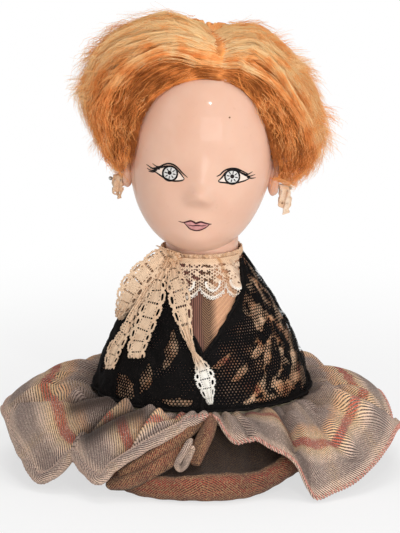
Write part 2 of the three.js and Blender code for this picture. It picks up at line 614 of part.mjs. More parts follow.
// The space that the hair leaves open in front of the face: an arch, straight below its springing
function faceArch() {
  const arch = new THREE.Shape();
  arch.moveTo(-HAIRLINE.half, -FAR / 2);
  arch.lineTo(HAIRLINE.half, -FAR / 2);
  arch.lineTo(HAIRLINE.half, 0);
  arch.absellipse(0, 0, HAIRLINE.half, HAIRLINE.rise, 0, Math.PI);
  arch.lineTo(-HAIRLINE.half, -FAR / 2);
  const block = new THREE.ExtrudeGeometry(arch, { depth: FAR, bevelEnabled: false, curveSegments: 10 });
  const springing = HEAD_CENTRE.z - HAIRLINE.drop;
  return solid(block.rotateX(Math.PI / 2).translate(HEAD_SHIFT + HAIRLINE.shift, 0, springing));
}
const archCut = faceArch();

// The space round an ear that the wig keeps clear of
const earRoom = (side) => {
  const radii = new THREE.Vector3(EAR.thick, EAR.deep, EAR.tall).addScalar(2 * GAP);
  return placedOnNeck(ellipsoid(earMiddle(side), radii, 10, 8));
};

// Wig cap: a cloth skin over the head behind the hairline
const CAP_COLUMNS = 20;
const CAP_ROWS = 12;
const capOutside = CAP_CLEARANCE + CAP_THICKNESS;
const cap = placedOnNeck(headSolid(CAP_COLUMNS, CAP_ROWS, capOutside, false))
  .subtract(placedOnNeck(headSolid(CAP_COLUMNS, CAP_ROWS, CAP_CLEARANCE, false)))
  .subtract(archCut)
  .subtract(earRoom(-1))
  .subtract(earRoom(1))
  .subtract(halfSpace("z", HEAD_CENTRE.z - CAP_EDGE_DROP, -1));
add("wig_cap", geometryOf(cap), 0xb0642a, 0.95);

// Mohair: puffed lobes on both sides of the parting and a rounder mass behind, drawn round the cap.
// Each lobe is [across, behind, above the head's centre] and its three half sizes.
const LEFT_PUFF = { inside: 14, outside: 5 }; // lobe centres, inside and outside the head's side
const RIGHT_PUFF = { inside: 11, outside: 4 };
const BACK_PUFF = 26; // lobe centre, inside the back of the head
const leftSide = -HEAD_HALF_WIDTH;
const LEFT_LOBES = [
  [[leftSide + LEFT_PUFF.inside, -2, 31], [38, 44, 38]],
  [[leftSide - LEFT_PUFF.outside, 0, 8], [24, 36, 33]],
];
const RIGHT_LOBES = [
  [[HEAD_HALF_WIDTH - RIGHT_PUFF.inside, -2, 28], [35, 44, 37]],
  [[HEAD_HALF_WIDTH + RIGHT_PUFF.outside, 0, 5], [21, 36, 32]],
];
const BACK_LOBES = [[[0, HEAD_BACK - BACK_PUFF, 10], [54, 38, 50]]];
const CROWN_LOBES = [[[PARTING - 2, 0, 21], [38, 44, 40]]];
const HAIR_COLUMNS = 14;
const HAIR_ROWS = 9;
function lobe([middle, half]) {
  const centre = new THREE.Vector3(...middle).add(HEAD_CENTRE);
  return ellipsoid(centre, new THREE.Vector3(...half), HAIR_COLUMNS, HAIR_ROWS);
}
const allLobes = [...LEFT_LOBES, ...RIGHT_LOBES, ...BACK_LOBES, ...CROWN_LOBES];
const wholeHair = allLobes.map(lobe).reduce((all, one) => all.add(one));
const lowestPin = Math.max(pinRoot(-1).z, pinRoot(1).z);
const hair = wholeHair
  .subtract(placedOnNeck(headSolid(CAP_COLUMNS, CAP_ROWS, capOutside + GAP, false)))
  .subtract(archCut)
  .subtract(earRoom(-1))
  .subtract(earRoom(1))
  .subtract(halfSpace("z", lowestPin + HAIR_LIFT, -1).subtract(halfSpace("y", BACK_HAIR_START, 1)));
const sideHair = hair.subtract(halfSpace("y", BACK_HAIR_START - GAP / 2, 1));
const MOHAIR = 0xd8772f;
add("mohair_left", geometryOf(sideHair.subtract(halfSpace("x", PARTING - GAP / 2, 1))), MOHAIR, 0.85);
add("mohair_right", geometryOf(sideHair.subtract(halfSpace("x", PARTING + GAP / 2, -1))), MOHAIR, 0.85);
add("mohair_back", geometryOf(hair.intersect(halfSpace("y", BACK_HAIR_START + GAP / 2, 1))), MOHAIR, 0.85);

// Earrings: a scrap of lace threaded on a pin in each ear, free to swing on it
function earring(side, length) {
  const eye = PIN_RADIUS + EYELET_CLEARANCE;
  const crown = eye + 1.1;
  const outline = new THREE.Shape();
  outline.moveTo(crown, 0);
  outline.absarc(0, 0, crown, 0, Math.PI);
  outline.lineTo(-crown - 0.6, -0.55 * length);
  outline.lineTo(-crown * 0.4, -length);
  outline.lineTo(crown * 0.7, -0.93 * length);
  outline.lineTo(crown + 0.8, -0.5 * length);
  outline.closePath();
  outline.holes.push(new THREE.Path().absarc(0, 0, eye, 0, 2 * Math.PI, true));
  const sweep = { depth: EARRING_WIDTH, bevelEnabled: false, curveSegments: 6 };
  const lace = new THREE.ExtrudeGeometry(outline, sweep);
  const [x, y, z] = [new THREE.Vector3(1, 0, 0), new THREE.Vector3(0, 1, 0), new THREE.Vector3(0, 0, 1)];
  const pin = pinRoot(side);
  const inner = pin.x + side * 2 * GAP;
  lace.applyMatrix4(new THREE.Matrix4().makeBasis(y, z, x));
  return lace.translate(side > 0 ? inner : inner - EARRING_WIDTH, pin.y, pin.z);
}
function earringPin(side) {
  const start = pinRoot(side);
  start.x -= side * PIN_GRIP;
  const shank = solid(crossBar(start, side, PIN_RADIUS, PIN_LENGTH));
  const end = new THREE.Vector3(start.x + side * PIN_LENGTH, start.y, start.z);
  const knob = new THREE.Vector3(PIN_HEAD_RADIUS, PIN_HEAD_RADIUS, PIN_HEAD_RADIUS);
  return geometryOf(shank.add(ellipsoid(end, knob, 8, 6)));
}
add("earring_pin_left", earringPin(-1), 0xc9c6bd, 0.3, 1);
add("earring_pin_right", earringPin(1), 0xc9c6bd, 0.3, 1);
add("earring_left", earring(-1, LEFT_EARRING_LENGTH), RIBBON_COLOUR, 0.85);
add("earring_right", earring(1, RIGHT_EARRING_LENGTH), RIBBON_COLOUR, 0.85);

export default doll;
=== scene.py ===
"""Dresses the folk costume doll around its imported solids.

Sizes in this file are millimetres and degrees, and the meshes are written in metres. The doll stands
on Z = 0 and faces -Y, and +X is the viewer's right. An angle round the doll starts at the front and
grows towards +X. Places that were read from the photograph are pixels of its 400 x 533 frame.
"""

import logging
import math
from dataclasses import dataclass
from enum import Enum
from operator import attrgetter
from typing import Sequence

import bpy
import numpy as np
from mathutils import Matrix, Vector
from mathutils.bvhtree import BVHTree


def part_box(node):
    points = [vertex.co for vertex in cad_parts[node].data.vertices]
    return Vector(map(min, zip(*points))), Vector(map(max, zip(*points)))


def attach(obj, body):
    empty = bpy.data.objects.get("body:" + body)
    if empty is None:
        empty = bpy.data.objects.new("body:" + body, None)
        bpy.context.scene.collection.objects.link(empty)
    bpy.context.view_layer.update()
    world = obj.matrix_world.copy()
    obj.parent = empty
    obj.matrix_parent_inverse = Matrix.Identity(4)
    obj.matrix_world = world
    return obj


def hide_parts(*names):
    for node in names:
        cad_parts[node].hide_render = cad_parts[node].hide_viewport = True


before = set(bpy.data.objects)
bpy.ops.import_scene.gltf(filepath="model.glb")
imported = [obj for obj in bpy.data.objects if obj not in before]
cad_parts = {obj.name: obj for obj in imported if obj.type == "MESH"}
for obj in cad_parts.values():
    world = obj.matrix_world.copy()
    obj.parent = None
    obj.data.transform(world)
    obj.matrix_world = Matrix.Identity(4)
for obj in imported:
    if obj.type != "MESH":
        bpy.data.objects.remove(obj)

LOG = logging.getLogger("doll")
MM = 0.001
Colour = tuple[float, float, float, float]
Pixel = tuple[float, float]
Array = np.ndarray
Piece = bpy.types.Object
Socket = bpy.types.NodeSocket
Material = bpy.types.Material

# Driving sizes, the same as the solids have
BASE_RADIUS = 57.0
WAIST_RADIUS = 62.5
HEM_HEIGHT = 46.0
NECKLINE_RADIUS = 24.5
NECKLINE_HEIGHT = 124.0
DOME_POWER = 1.5
OPENING_DROP = 48.0
OPENING_WIDEST = 61.0
OPENING_POWER = 1.55
OPENING_POINT = NECKLINE_HEIGHT - OPENING_DROP
LACE_WIDTH = 16.0
LACE_REPEAT = 7.2
LACE_THICKNESS = 0.4
UNDERSKIRT_ROOT = 59.4


def tint(code: str) -> Colour:
    """Turns a screen colour into the linear colour that shaders take.

    Args:
        code: Six hexadecimal digits, as in "E9BFA3".

    Returns:
        The linear red, green and blue, and an alpha of one.
    """
    shares = [int(code[place:place + 2], 16) / 255 for place in (0, 2, 4)]
    linear = [s / 12.92 if s <= 0.04045 else ((s + 0.055) / 1.055) ** 2.4 for s in shares]
    return (linear[0], linear[1], linear[2], 1.0)


def smooth(low: float, high: float, value: Array) -> Array:
    """Eases from 0 at low to 1 at high."""
    share = np.clip((value - low) / (high - low), 0, 1)
    return share * share * (3 - 2 * share)


def bell(value: Array, width: float) -> Array:
    """A bell curve of height one, where width is the distance at which it falls to 1/e."""
    return np.exp(-(value / width) ** 2)


def unit(vectors: Array) -> Array:
    """Scales vectors along the last axis to length one."""
    return vectors / np.maximum(np.linalg.norm(vectors, axis=-1, keepdims=True), 1e-9)


def ripple(points: Array, size: float, seed: int, waves: int = 7) -> Array:
    """Gives a smooth irregular value between about -1 and 1 at each point.

    Args:
        points: Points along the last axis, in millimetres.
        size: The usual length of one swell.
        seed: Chooses the pattern.
        waves: How many plane waves are added up.

    Returns:
        One value for each point.
    """
    draw = np.random.default_rng(seed)
    total = np.zeros(points.shape[:-1])
    for _ in range(waves):
        course = unit(draw.normal(size=points.shape[-1])) * 2 * math.pi / (size * draw.uniform(0.7, 1.5))
        total += np.sin(points @ course + draw.uniform(0, 2 * math.pi))
    return total / math.sqrt(waves) / 1.4


def through(stops: Array, share: Array) -> Array:
    """Follows a smooth open curve through stops, with an even share of the way for each span.

    Args:
        stops: One stop in each row.
        share: Places from 0, the first stop, to 1, the last.

    Returns:
        One row for each place.
    """
    ends = np.vstack([2 * stops[0] - stops[1], stops, 2 * stops[-1] - stops[-2]])
    spans = len(stops) - 1
    place = np.clip(np.asarray(share, float), 0, 1) * spans
    span = np.minimum(place.astype(int), spans - 1)
    part = (place - span)[:, None]
    before, here, there, after = (ends[span + step] for step in range(4))

    def pace(start: Array, end: Array) -> Array:
        """Square root of the distance between two stops."""
        return np.maximum(np.linalg.norm(end - start, axis=1, keepdims=True) ** 0.5, 1e-4)

    first, middle, last = pace(before, here), pace(here, there), pace(there, after)
    leave = (here - before) / first - (there - before) / (first + middle) + (there - here) / middle
    arrive = (there - here) / middle - (after - here) / (middle + last) + (after - there) / last
    leave, arrive = leave * middle, arrive * middle
    bend = 2 * here - 2 * there + leave + arrive
    turn = -3 * here + 3 * there - 2 * leave - arrive
    return ((bend * part + turn) * part + leave) * part + here


def joined(*parts: Array) -> Array:
    """Puts coordinates together along a new last axis."""
    return np.stack(np.broadcast_arrays(*parts), axis=-1)


def dome_radius(height: Array) -> Array:
    """How far the shawl's outside is from the axis.

    Args:
        height: Heights above the floor.

    Returns:
        A radius for each height.
    """
    height = np.asarray(height, float)
    lower = np.clip(height / HEM_HEIGHT, 0, 1) * math.pi / 2
    upper = np.clip((height - HEM_HEIGHT) / (NECKLINE_HEIGHT - HEM_HEIGHT), 0, None) ** DOME_POWER
    below = BASE_RADIUS + (WAIST_RADIUS - BASE_RADIUS) * np.sin(lower)
    above = NECKLINE_RADIUS + (WAIST_RADIUS - NECKLINE_RADIUS) * (1 - upper)
    return np.where(height <= HEM_HEIGHT, below, above)


def around(angle: Array, radius: Array, height: Array) -> Array:
    """Points at an angle in degrees from the front, a distance from the axis and a height."""
    turn = np.radians(angle)
    return joined(radius * np.sin(turn), -radius * np.cos(turn), np.asarray(height, float))


def opening_angle(height: Array) -> Array:
    """Half the angle of the shawl's front opening at each height, in degrees."""
    share = np.clip((np.asarray(height, float) - OPENING_POINT) / OPENING_DROP, 0, 1)
    return OPENING_WIDEST * share ** OPENING_POWER


def sine_cosine(angle: float) -> tuple[float, float]:
    """The sine and the cosine of an angle in degrees."""
    return math.sin(math.radians(angle)), math.cos(math.radians(angle))


def bearing(points: Array) -> Array:
    """The angles round the doll at which points lie."""
    return np.degrees(np.arctan2(points[:, 0], -points[:, 1]))


def walked(points: Array) -> Array:
    """How far it is to each point from the first one, along the last axis but one."""
    steps = np.linalg.norm(np.diff(points, axis=-2), axis=-1)
    return np.concatenate([np.zeros(steps.shape[:-1] + (1,)), np.cumsum(steps, axis=-1)], axis=-1)


def box_of(node: str) -> tuple[Array, Array]:
    """The lowest and the highest corner of a solid's box."""
    low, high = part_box(node)
    return np.array(low) / MM, np.array(high) / MM


def flat_grid(long: float, wide: float, step: float) -> tuple[Array, Array, Array, Array]:
    """A fine grid over a flat ribbon, and a little past its edges.

    Args:
        long: The ribbon's length.
        wide: Its width.
        step: The grid's step.

    Returns:
        The places along it, the places across it from its middle, and both of them at each grid point.
    """
    along = np.arange(-step, long + 2 * step, step)
    across = np.arange(-wide / 2 - step, wide / 2 + 2 * step, step)
    return along, across, *np.meshgrid(along, across, indexing="ij")


def activate(piece: Piece) -> None:
    """Makes one object the only selected one, and the active one.

    Args:
        piece: The object.
    """
    bpy.ops.object.select_all(action="DESELECT")
    piece.select_set(True)
    bpy.context.view_layer.objects.active = piece


def vertices_of(piece: Piece) -> Array:
    """Reads a mesh's points.

    Args:
        piece: The mesh object.

    Returns:
        One point in each row, in millimetres.
    """
    flat = np.empty(len(piece.data.vertices) * 3, np.float32)
    piece.data.vertices.foreach_get("co", flat)
    return flat.reshape(-1, 3).astype(float) / MM


def move_vertices(piece: Piece, points: Array) -> None:
    """Gives a mesh new points, in millimetres."""
    piece.data.vertices.foreach_set("co", (points * MM).astype(np.float32).ravel())
    piece.data.update()


def store(piece: Piece, name: str, values: Array) -> None:
    """Keeps a number or a vector for each point, for a material to read.

    Args:
        piece: The mesh object.
        name: The attribute's name.
        values: One number, or up to three numbers, for each point.
    """
    values = np.asarray(values, np.float32)
    if values.ndim == 1:
        attribute = piece.data.attributes.new(name, "FLOAT", "POINT")
        attribute.data.foreach_set("value", values)
        return
    attribute = piece.data.attributes.new(name, "FLOAT_VECTOR", "POINT")
    padded = np.zeros((len(values), 3), np.float32)
    padded[:, :values.shape[1]] = values
    attribute.data.foreach_set("vector", padded.ravel())


def build(name: str, points: Array, faces: Array, **values: Array) -> Piece:
    """Makes a smooth mesh object out of points and faces.

    Args:
        name: The piece's name.
        points: One point in each row, in millimetres.
        faces: One face in each row, all with the same count of corners.
        values: What each point carries for its material.

    Returns:
        The new object, at the origin.
    """
    mesh = bpy.data.meshes.new(name)
    mesh.vertices.add(len(points))
    mesh.vertices.foreach_set("co", (points * MM).astype(np.float32).ravel())
    corners = faces.shape[1]
    mesh.loops.add(faces.size)
    mesh.loops.foreach_set("vertex_index", faces.astype(np.int32).ravel())
    mesh.polygons.add(len(faces))
    mesh.polygons.foreach_set("loop_start", np.arange(0, faces.size, corners, dtype=np.int32))
    mesh.update(calc_edges=True)
    mesh.shade_smooth()
    piece = bpy.data.objects.new(name, mesh)
    bpy.context.scene.collection.objects.link(piece)
    for key, value in values.items():
        store(piece, key, value)
    return piece


def ball(name: str, segments: int, rings: int) -> Piece:
    """Adds a round ball with a radius of one, to be shaped.

    Args:
        name: The piece's name.
        segments: Faces round it.
        rings: Faces from pole to pole.

    Returns:
        The ball.
    """
    bpy.ops.object.select_all(action="DESELECT")
    bpy.ops.mesh.primitive_uv_sphere_add(segments=segments, ring_count=rings, radius=MM)
    bpy.ops.object.shade_smooth()
    piece = bpy.context.active_object
    piece.name = name
    return piece


def lattice(columns: int, rows: int, closed: bool) -> Array:
    """Four-cornered faces of a grid whose points are listed column by column.

    Args:
        columns: Points one way.
        rows: Points the other way.
        closed: Whether the last column joins the first one.

    Returns:
        One face in each row.
    """
    spans = columns if closed else columns - 1
    column, row = np.meshgrid(np.arange(spans), np.arange(rows - 1), indexing="ij")
    here = (column * rows + row).ravel()
    there = ((column + 1) % columns * rows + row).ravel()
    return np.stack([here, there, there + 1, here + 1], axis=1)


def grid_piece(name: str, points: Array, closed: bool = False, flipped: bool = False,
               **values: Array) -> Piece:
    """Makes a sheet out of a grid of points.

    Args:
        name: The piece's name.
        points: Points by column and row.
        closed: Whether the last column joins the first one.
        flipped: Whether the faces are turned round.
        values: What each point carries for its material, by column and row.

    Returns:
        The new object, at the origin.
    """
    columns, rows, _ = points.shape
    faces = lattice(columns, rows, closed)
    flat = {key: value.reshape(columns * rows, *value.shape[2:]) for key, value in values.items()}
    return build(name, points.reshape(-1, 3), faces[:, ::-1] if flipped else faces, **flat)


def cut_out(fabric: Array, across: Array, along: Array) -> tuple[Array, Array]:
    """Cuts a flat pattern out where its field is above zero, with smooth edges.

    Args:
        fabric: The field on a grid, by place across and place along.
        across: The grid's places across.
        along: The grid's places along.

    Returns:
        The flat points and the triangles between them.
    """
    inside = fabric > 0
    count = 0
    numbers, places = [], []
    grid = np.stack(np.meshgrid(across, along, indexing="ij"), axis=-1)

    def number(mask: Array, where: Array) -> Array:
        """Numbers the points that a mask keeps, and notes where they are.

        Args:
            mask: True for each point that is kept.
            where: The places of all the points.

        Returns:
            A number for each point, -1 where it is not kept.
        """
        nonlocal count
        ids = np.full(mask.shape, -1)
        ids[mask] = count + np.arange(mask.sum())
        count += int(mask.sum())
        places.append(where[mask])
        return ids

    def crossing(first: Array, second: Array, start: Array, end: Array) -> Array:
        """Finds where the field passes zero between neighbours."""
        span = np.where(np.abs(first - second) < 1e-9, 1e-9, first - second)
        return start + (end - start) * np.clip(first / span, 0.02, 0.98)[..., None]

    corner = number(inside, grid)
    over = crossing(fabric[:-1], fabric[1:], grid[:-1], grid[1:])
    up = crossing(fabric[:, :-1], fabric[:, 1:], grid[:, :-1], grid[:, 1:])
    side_u = number(inside[:-1] != inside[1:], over)
    side_v = number(inside[:, :-1] != inside[:, 1:], up)
    loops = [
        corner[:-1, :-1], side_u[:, :-1], corner[1:, :-1], side_v[1:],
        corner[1:, 1:], side_u[:, 1:], corner[:-1, 1:], side_v[:-1],
    ]
    rings = np.stack([loop.ravel() for loop in loops], axis=1)
    order = np.argsort(rings < 0, axis=1, kind="stable")
    rings = np.take_along_axis(rings, order, axis=1)
    for second in range(1, 5):
        fan = rings[rings[:, second + 1] >= 0][:, [0, second, second + 1]]
        numbers.append(fan)
    return np.concatenate(places), np.concatenate(numbers)


def thicken(piece: Piece, thickness: float, side: float = 0.0) -> None:
    """Gives a sheet its thickness.

    Args:
        piece: The sheet.
        thickness: In millimetres.
        side: 0 for both sides, 1 for the outside only, -1 for the inside only.
    """
    activate(piece)
    bpy.ops.object.modifier_add(type="SOLIDIFY")
    layer = piece.modifiers[-1]
    layer.thickness = thickness * MM
    layer.offset = side
    bpy.ops.object.modifier_apply(modifier=layer.name)


def tubes(paths: Array, radii: Array, ups: Array, sides: int = 3,
          phase: float = 0.0) -> tuple[Array, Array]:
    """Draws a closed thin tube along each path.

    Args:
        paths: Points by path, step and axis.
        radii: Radius by path and step.
        ups: A direction off each path, by path, step and axis.
        sides: Corners of a tube's section.
        phase: How far the first corner is turned away from up, as a share of a turn.

    Returns:
        The points and the triangles of all the tubes.
    """
    count, steps, _ = paths.shape
    ahead = unit(np.gradient(paths, axis=1))
    over = unit(ups - ahead * np.sum(ups * ahead, axis=-1, keepdims=True))
    beside = np.cross(ahead, over)
    corners = []
    for side in range(sides):
        turn = 2 * math.pi * (side / sides + phase)
        corners.append(paths + (over * math.cos(turn) + beside * math.sin(turn)) * radii[..., None])
    points = np.stack(corners, axis=2).reshape(-1, 3)
    start = (np.arange(count) * steps)[:, None] + np.arange(steps - 1)[None, :]
    quads = []
    for side in range(sides):
        here = (start * sides + side).ravel()
        beyond = (start * sides + (side + 1) % sides).ravel()
        quads.append(np.stack([here, beyond, beyond + sides], axis=1))
        quads.append(np.stack([here, beyond + sides, here + sides], axis=1))
    first = np.arange(count) * steps * sides
    last = first + (steps - 1) * sides
    for side in range(1, sides - 1):
        quads.append(np.stack([first, first + side + 1, first + side], axis=1))
        quads.append(np.stack([last, last + side, last + side + 1], axis=1))
    return points, np.concatenate(quads)


@dataclass(frozen=True)
class Value:
    """A number that a material works out at each point. Sums are written with it as with a plain number."""

    graph: "Graph"
    socket: Socket

    def __add__(self, other: "Value | float") -> "Value":
        """The sum."""
        return self.graph.math("ADD", self, other)

    def __sub__(self, other: "Value | float") -> "Value":
        """The difference."""
        return self.graph.math("SUBTRACT", self, other)

    def __rsub__(self, other: float) -> "Value":
        """The difference from a plain number."""
        return self.graph.math("SUBTRACT", other, self)

    def __mul__(self, other: "Value | float") -> "Value":
        """The product."""
        return self.graph.math("MULTIPLY", self, other)

    def __truediv__(self, other: float) -> "Value":
        """The share."""
        return self.graph.math("DIVIDE", self, other)

    def __abs__(self) -> "Value":
        """The size without the sign."""
        return self.graph.math("ABSOLUTE", self)


class Graph:
    """Builds one procedural material, node by node. Places and sizes in it are millimetres."""

    def __init__(self, name: str) -> None:
        """Starts a material with no nodes.

        Args:
            name: The material's name.
        """
        self.material = bpy.data.materials.new(name)
        self.material.use_nodes = True
        self.tree = self.material.node_tree
        self.tree.nodes.clear()

    def add(self, kind: str, inputs: dict | None = None, **settings: object) -> bpy.types.Node:
        """Adds a node.

        Args:
            kind: The node's type.
            inputs: Values, sockets, numbers or colours by the name or index of an input.
            settings: The node's own settings.

        Returns:
            The new node.
        """
        node = self.tree.nodes.new(kind)
        for key, value in settings.items():
            setattr(node, key, value)
        for key, value in (inputs or {}).items():
            source = value.socket if isinstance(value, Value) else value
            if isinstance(source, Socket):
                self.tree.links.new(source, node.inputs[key])
            else:
                node.inputs[key].default_value = source
        return node

    def math(self, operation: str, *values: object) -> Value:
        """The result of one of the Math node's operations."""
        node = self.add("ShaderNodeMath", dict(enumerate(values)), operation=operation)
        return Value(self, node.outputs[0])

    def larger(self, first: object, second: object) -> Value:
        """The larger one of two values."""
        return self.math("MAXIMUM", first, second)

    def wave(self, value: Value, length: float) -> Value:
        """A sine from -1 to 1 that repeats after a length."""
        return self.math("SINE", value * (2 * math.pi / length))

    def place(self) -> Socket:
        """The place on the object."""
        spot = self.add("ShaderNodeTexCoord").outputs["Object"]
        return self.add("ShaderNodeVectorMath", {0: spot, "Scale": 1 / MM}, operation="SCALE").outputs[0]

    def split(self, vector: Socket) -> list[Value]:
        """The three parts of a vector."""
        return [Value(self, part) for part in self.add("ShaderNodeSeparateXYZ", {0: vector}).outputs]

    def carried(self, name: str) -> Value:
        """The number that each point of the mesh carries under a name."""
        return Value(self, self.add("ShaderNodeAttribute", attribute_name=name).outputs["Fac"])

    def cloth(self) -> list[Value]:
        """The places along and across the flat cloth that each point carries, and a third number."""
        return self.split(self.add("ShaderNodeAttribute", attribute_name="cloth").outputs["Vector"])

    def noise(self, vector: Socket, size: float, detail: float = 2.0) -> Value:
        """Irregular values from 0 to 1, with swells of about a size and some finer layers of detail."""
        inputs = {"Vector": vector, "Scale": 1 / size, "Detail": detail}
        return Value(self, self.add("ShaderNodeTexNoise", inputs).outputs[0])

    def band(self, value: object, low: float, high: float) -> Value:
        """Eases from 0 at low to 1 at high."""
        inputs = {"Value": value, "From Min": low, "From Max": high}
        return Value(self, self.add("ShaderNodeMapRange", inputs, interpolation_type="SMOOTHSTEP").outputs[0])

    def ramp(self, share: Value, stops: Sequence[tuple[float, Colour]]) -> Socket:
        """Colours by a share from 0 to 1.

        Args:
            share: The share.
            stops: Places and their colours.

        Returns:
            The socket with the colour.
        """
        node = self.add("ShaderNodeValToRGB", {0: share})
        elements = node.color_ramp.elements
        while len(elements) < len(stops):
            elements.new(1.0)
        for element, (place, colour) in zip(elements, stops):
            element.position = place
            element.color = colour
        return node.outputs[0]

    def mix(self, share: Value, first: object, second: object) -> Socket:
        """A mix of two colours, by the share of the second one."""
        return self.add("ShaderNodeMix", {0: share, 6: first, 7: second}, data_type="RGBA").outputs[2]

    def relief(self, height: Value, depth: float) -> Socket:
        """The normal of a fine relief, where a height of one stands for a depth."""
        inputs = {"Strength": 1.0, "Distance": depth * MM, "Height": height}
        return self.add("ShaderNodeBump", inputs).outputs[0]

    def finish(self, colour: object, roughness: object, **inputs: object) -> Material:
        """Closes the material with its surface.

        Args:
            colour: A socket or a colour.
            roughness: A value or a number.
            inputs: Other inputs, by name with _ for a space.

        Returns:
            The finished material.
        """
        named = {key.replace("_", " "): value for key, value in inputs.items()}
        named.update({"Base Color": colour, "Roughness": roughness})
        surface = self.add("ShaderNodeBsdfPrincipled", named)
        output = self.add("ShaderNodeOutputMaterial")
        self.tree.links.new(surface.outputs[0], output.inputs[0])
        return self.material


@dataclass(frozen=True)
class SkinPlastic:
    """Glossy peach plastic, a little mottled, with a moulding seam in front of the ears."""

    light: Colour = tint("E9BEA6")
    deep: Colour = tint("E4B49B")
    seam: Colour = tint("A87556")
    seam_y: float = -18.0
    seam_half: float = 0.45
    seam_from: float = 148.0
    seam_full: float = 158.0

    def make(self) -> Material:
        """Makes the material.

        Returns:
            The material.
        """
        graph = Graph("skin_plastic")
        place = graph.place()
        _, y, z = graph.split(place)
        colour = graph.ramp(graph.noise(place, 26.0, 3.0), [(0.3, self.deep), (0.7, self.light)])
        above = graph.band(z, self.seam_from, self.seam_full)
        groove = graph.band(abs(y - self.seam_y), self.seam_half, 0.0) * above
        colour = graph.mix(groove * 0.5, colour, self.seam)
        grime = graph.band(graph.noise(place, 3.2, 4.0), 0.62, 0.8)
        colour = graph.mix(grime * 0.1, colour, self.seam)
        uneven = graph.noise(place, 14.0, 2.0) - groove
        return graph.finish(
            colour, graph.noise(place, 9.0, 3.0) * 0.16 + 0.28, Normal=graph.relief(uneven, 0.35),
            Specular_IOR_Level=0.1, Coat_Weight=0.28, Coat_Roughness=0.06, Subsurface_Weight=0.12,
            Subsurface_Radius=(1.0, 0.45, 0.25), Subsurface_Scale=0.0025,
        )


@dataclass(frozen=True)
class HandPaint:
    """Brushed paint or ink on the face, a little thinner in places."""

    name: str
    full: Colour
    thin: Colour
    shine: float = 0.35

    def make(self) -> Material:
        """Makes the material.

        Returns:
            The material.
        """
        graph = Graph(self.name)
        place = graph.place()
        colour = graph.ramp(graph.noise(place, 1.6, 3.0), [(0.4, self.full), (0.75, self.thin)])
        roughness = graph.noise(place, 0.8, 1.0) * 0.2 + self.shine
        return graph.finish(colour, roughness, Specular_IOR_Level=0.15, Coat_Weight=0.1, Coat_Roughness=0.12)


@dataclass(frozen=True)
class Mohair:
    """Brushed orange mohair: rust underneath, apricot on top. The tone that each strand carries is partly the
    fibre's own and partly painted shade.
    """

    rust: Colour = tint("A0561F")
    copper: Colour = tint("DC8740")
    orange: Colour = tint("FFAC5E")
    apricot: Colour = tint("FFC884")
    pale: Colour = tint("FFE0AC")
    halo: Colour = tint("FFC48C")

    def make(self) -> Material:
        """Makes the material.

        Returns:
            The material.
        """
        graph = Graph("mohair")
        place = graph.place()
        streak = graph.noise(place, 2.2, 3.0)
        tone = graph.carried("tone") + streak * 0.22 + graph.noise(place, 9.0, 2.0) * 1.1 - 0.62
        colour = graph.ramp(tone, [
            (0.0, self.rust), (0.28, self.copper), (0.52, self.orange), (0.78, self.apricot),
            (1.0, self.pale),
        ])
        return graph.finish(colour, streak * 0.2 + 0.45, Specular_IOR_Level=0.25, Sheen_Weight=0.5,
                            Sheen_Roughness=0.45, Sheen_Tint=self.halo)


@dataclass(frozen=True)
class CreamLace:
    """Cream cotton lace: tight threads, tea-stained here and there and whiter where it is washed, with
    painted shade where it is gathered and in the gaps of its weave.
    """

    cream: Colour = tint("F1D0AF")
    tea_stain_and_shade: Colour = tint("CF9C6E")
    white: Colour = tint("FBF6EC")
    gap: Colour = tint("7A5334")
    thread: float = 1.25

    def make(self) -> Material:
        """Makes the material.

        Returns:
            The material.
        """
        graph = Graph("cream_lace")
        place = graph.place()
        u, v, _ = graph.cloth()
        whiteness_and_shade = graph.carried("whiteness_and_shade")
        weave = graph.wave(u, self.thread) * graph.wave(v, self.thread) * 0.5 + 0.5
        age = graph.band(graph.noise(place, 8.0, 3.0), 0.5, 0.3)
        # Painted shade where the carried value is below zero, with tea stains at random.
        colour = graph.mix(graph.larger(whiteness_and_shade * -1.0, age * 0.3), self.cream, self.tea_stain_and_shade)
        colour = graph.mix(graph.larger(whiteness_and_shade, 0.0), colour, self.white)
        # Painted shade in the gaps of the weave.
        patchy = graph.band(weave, 0.35, 0.0) * graph.band(graph.noise(place, 3.0, 2.0), 0.35, 0.6)
        colour = graph.mix(patchy * 0.7, colour, self.gap)
        return graph.finish(colour, weave * -0.12 + 0.92, Normal=graph.relief(weave, 0.2),
                            Sheen_Weight=0.1, Sheen_Roughness=0.5)


@dataclass(frozen=True)
class BlackLace:
    """Black floral lace: solid leaves with corded rims, and an open six-sided net between them."""

    ink: Colour = tint("060505")
    thread_sheen: Colour = tint("372E2B")
    pitch: float = 1.75
    rim: float = 0.4

    def make(self) -> Material:
        """Makes the material. The holes of the net are cut by its alpha.

        Returns:
            The material.
        """
        graph = Graph("black_lace")
        place = graph.place()
        u, v, sheer = graph.cloth()
        motif = graph.carried("motif")
        beat = 4 * math.pi / (math.sqrt(3) * self.pitch)
        waves = []
        for turn in (90, 210, 330):
            sine, cosine = sine_cosine(turn)
            waves.append(graph.math("COSINE", u * (beat * cosine) + v * (beat * sine)))
        dense = graph.noise(place, 6.0, 3.0)
        net_level = dense * 3.2 - 1.9 - sheer * 0.6
        leaf_level = dense * 3.0 + 1.5 - sheer * 1.6
        level = net_level + (leaf_level - net_level) * graph.band(motif, -0.15, 0.15)
        hole = graph.band(waves[0] + waves[1] + waves[2] - level, -0.15, 0.15)
        rim = graph.band(abs(motif), self.rim, 0.0)
        thread = graph.noise(place, 0.6, 2.0)
        # Painted sheen: grey where the threads catch the light.
        colour = graph.mix(graph.band(thread, 0.52, 0.8), self.ink, self.thread_sheen)
        return graph.finish(colour, thread * 0.2 + 0.7, Alpha=1.0 - hole * (1.0 - rim),
                            Normal=graph.relief(rim + thread * 0.6, 0.5), Specular_IOR_Level=0.12)


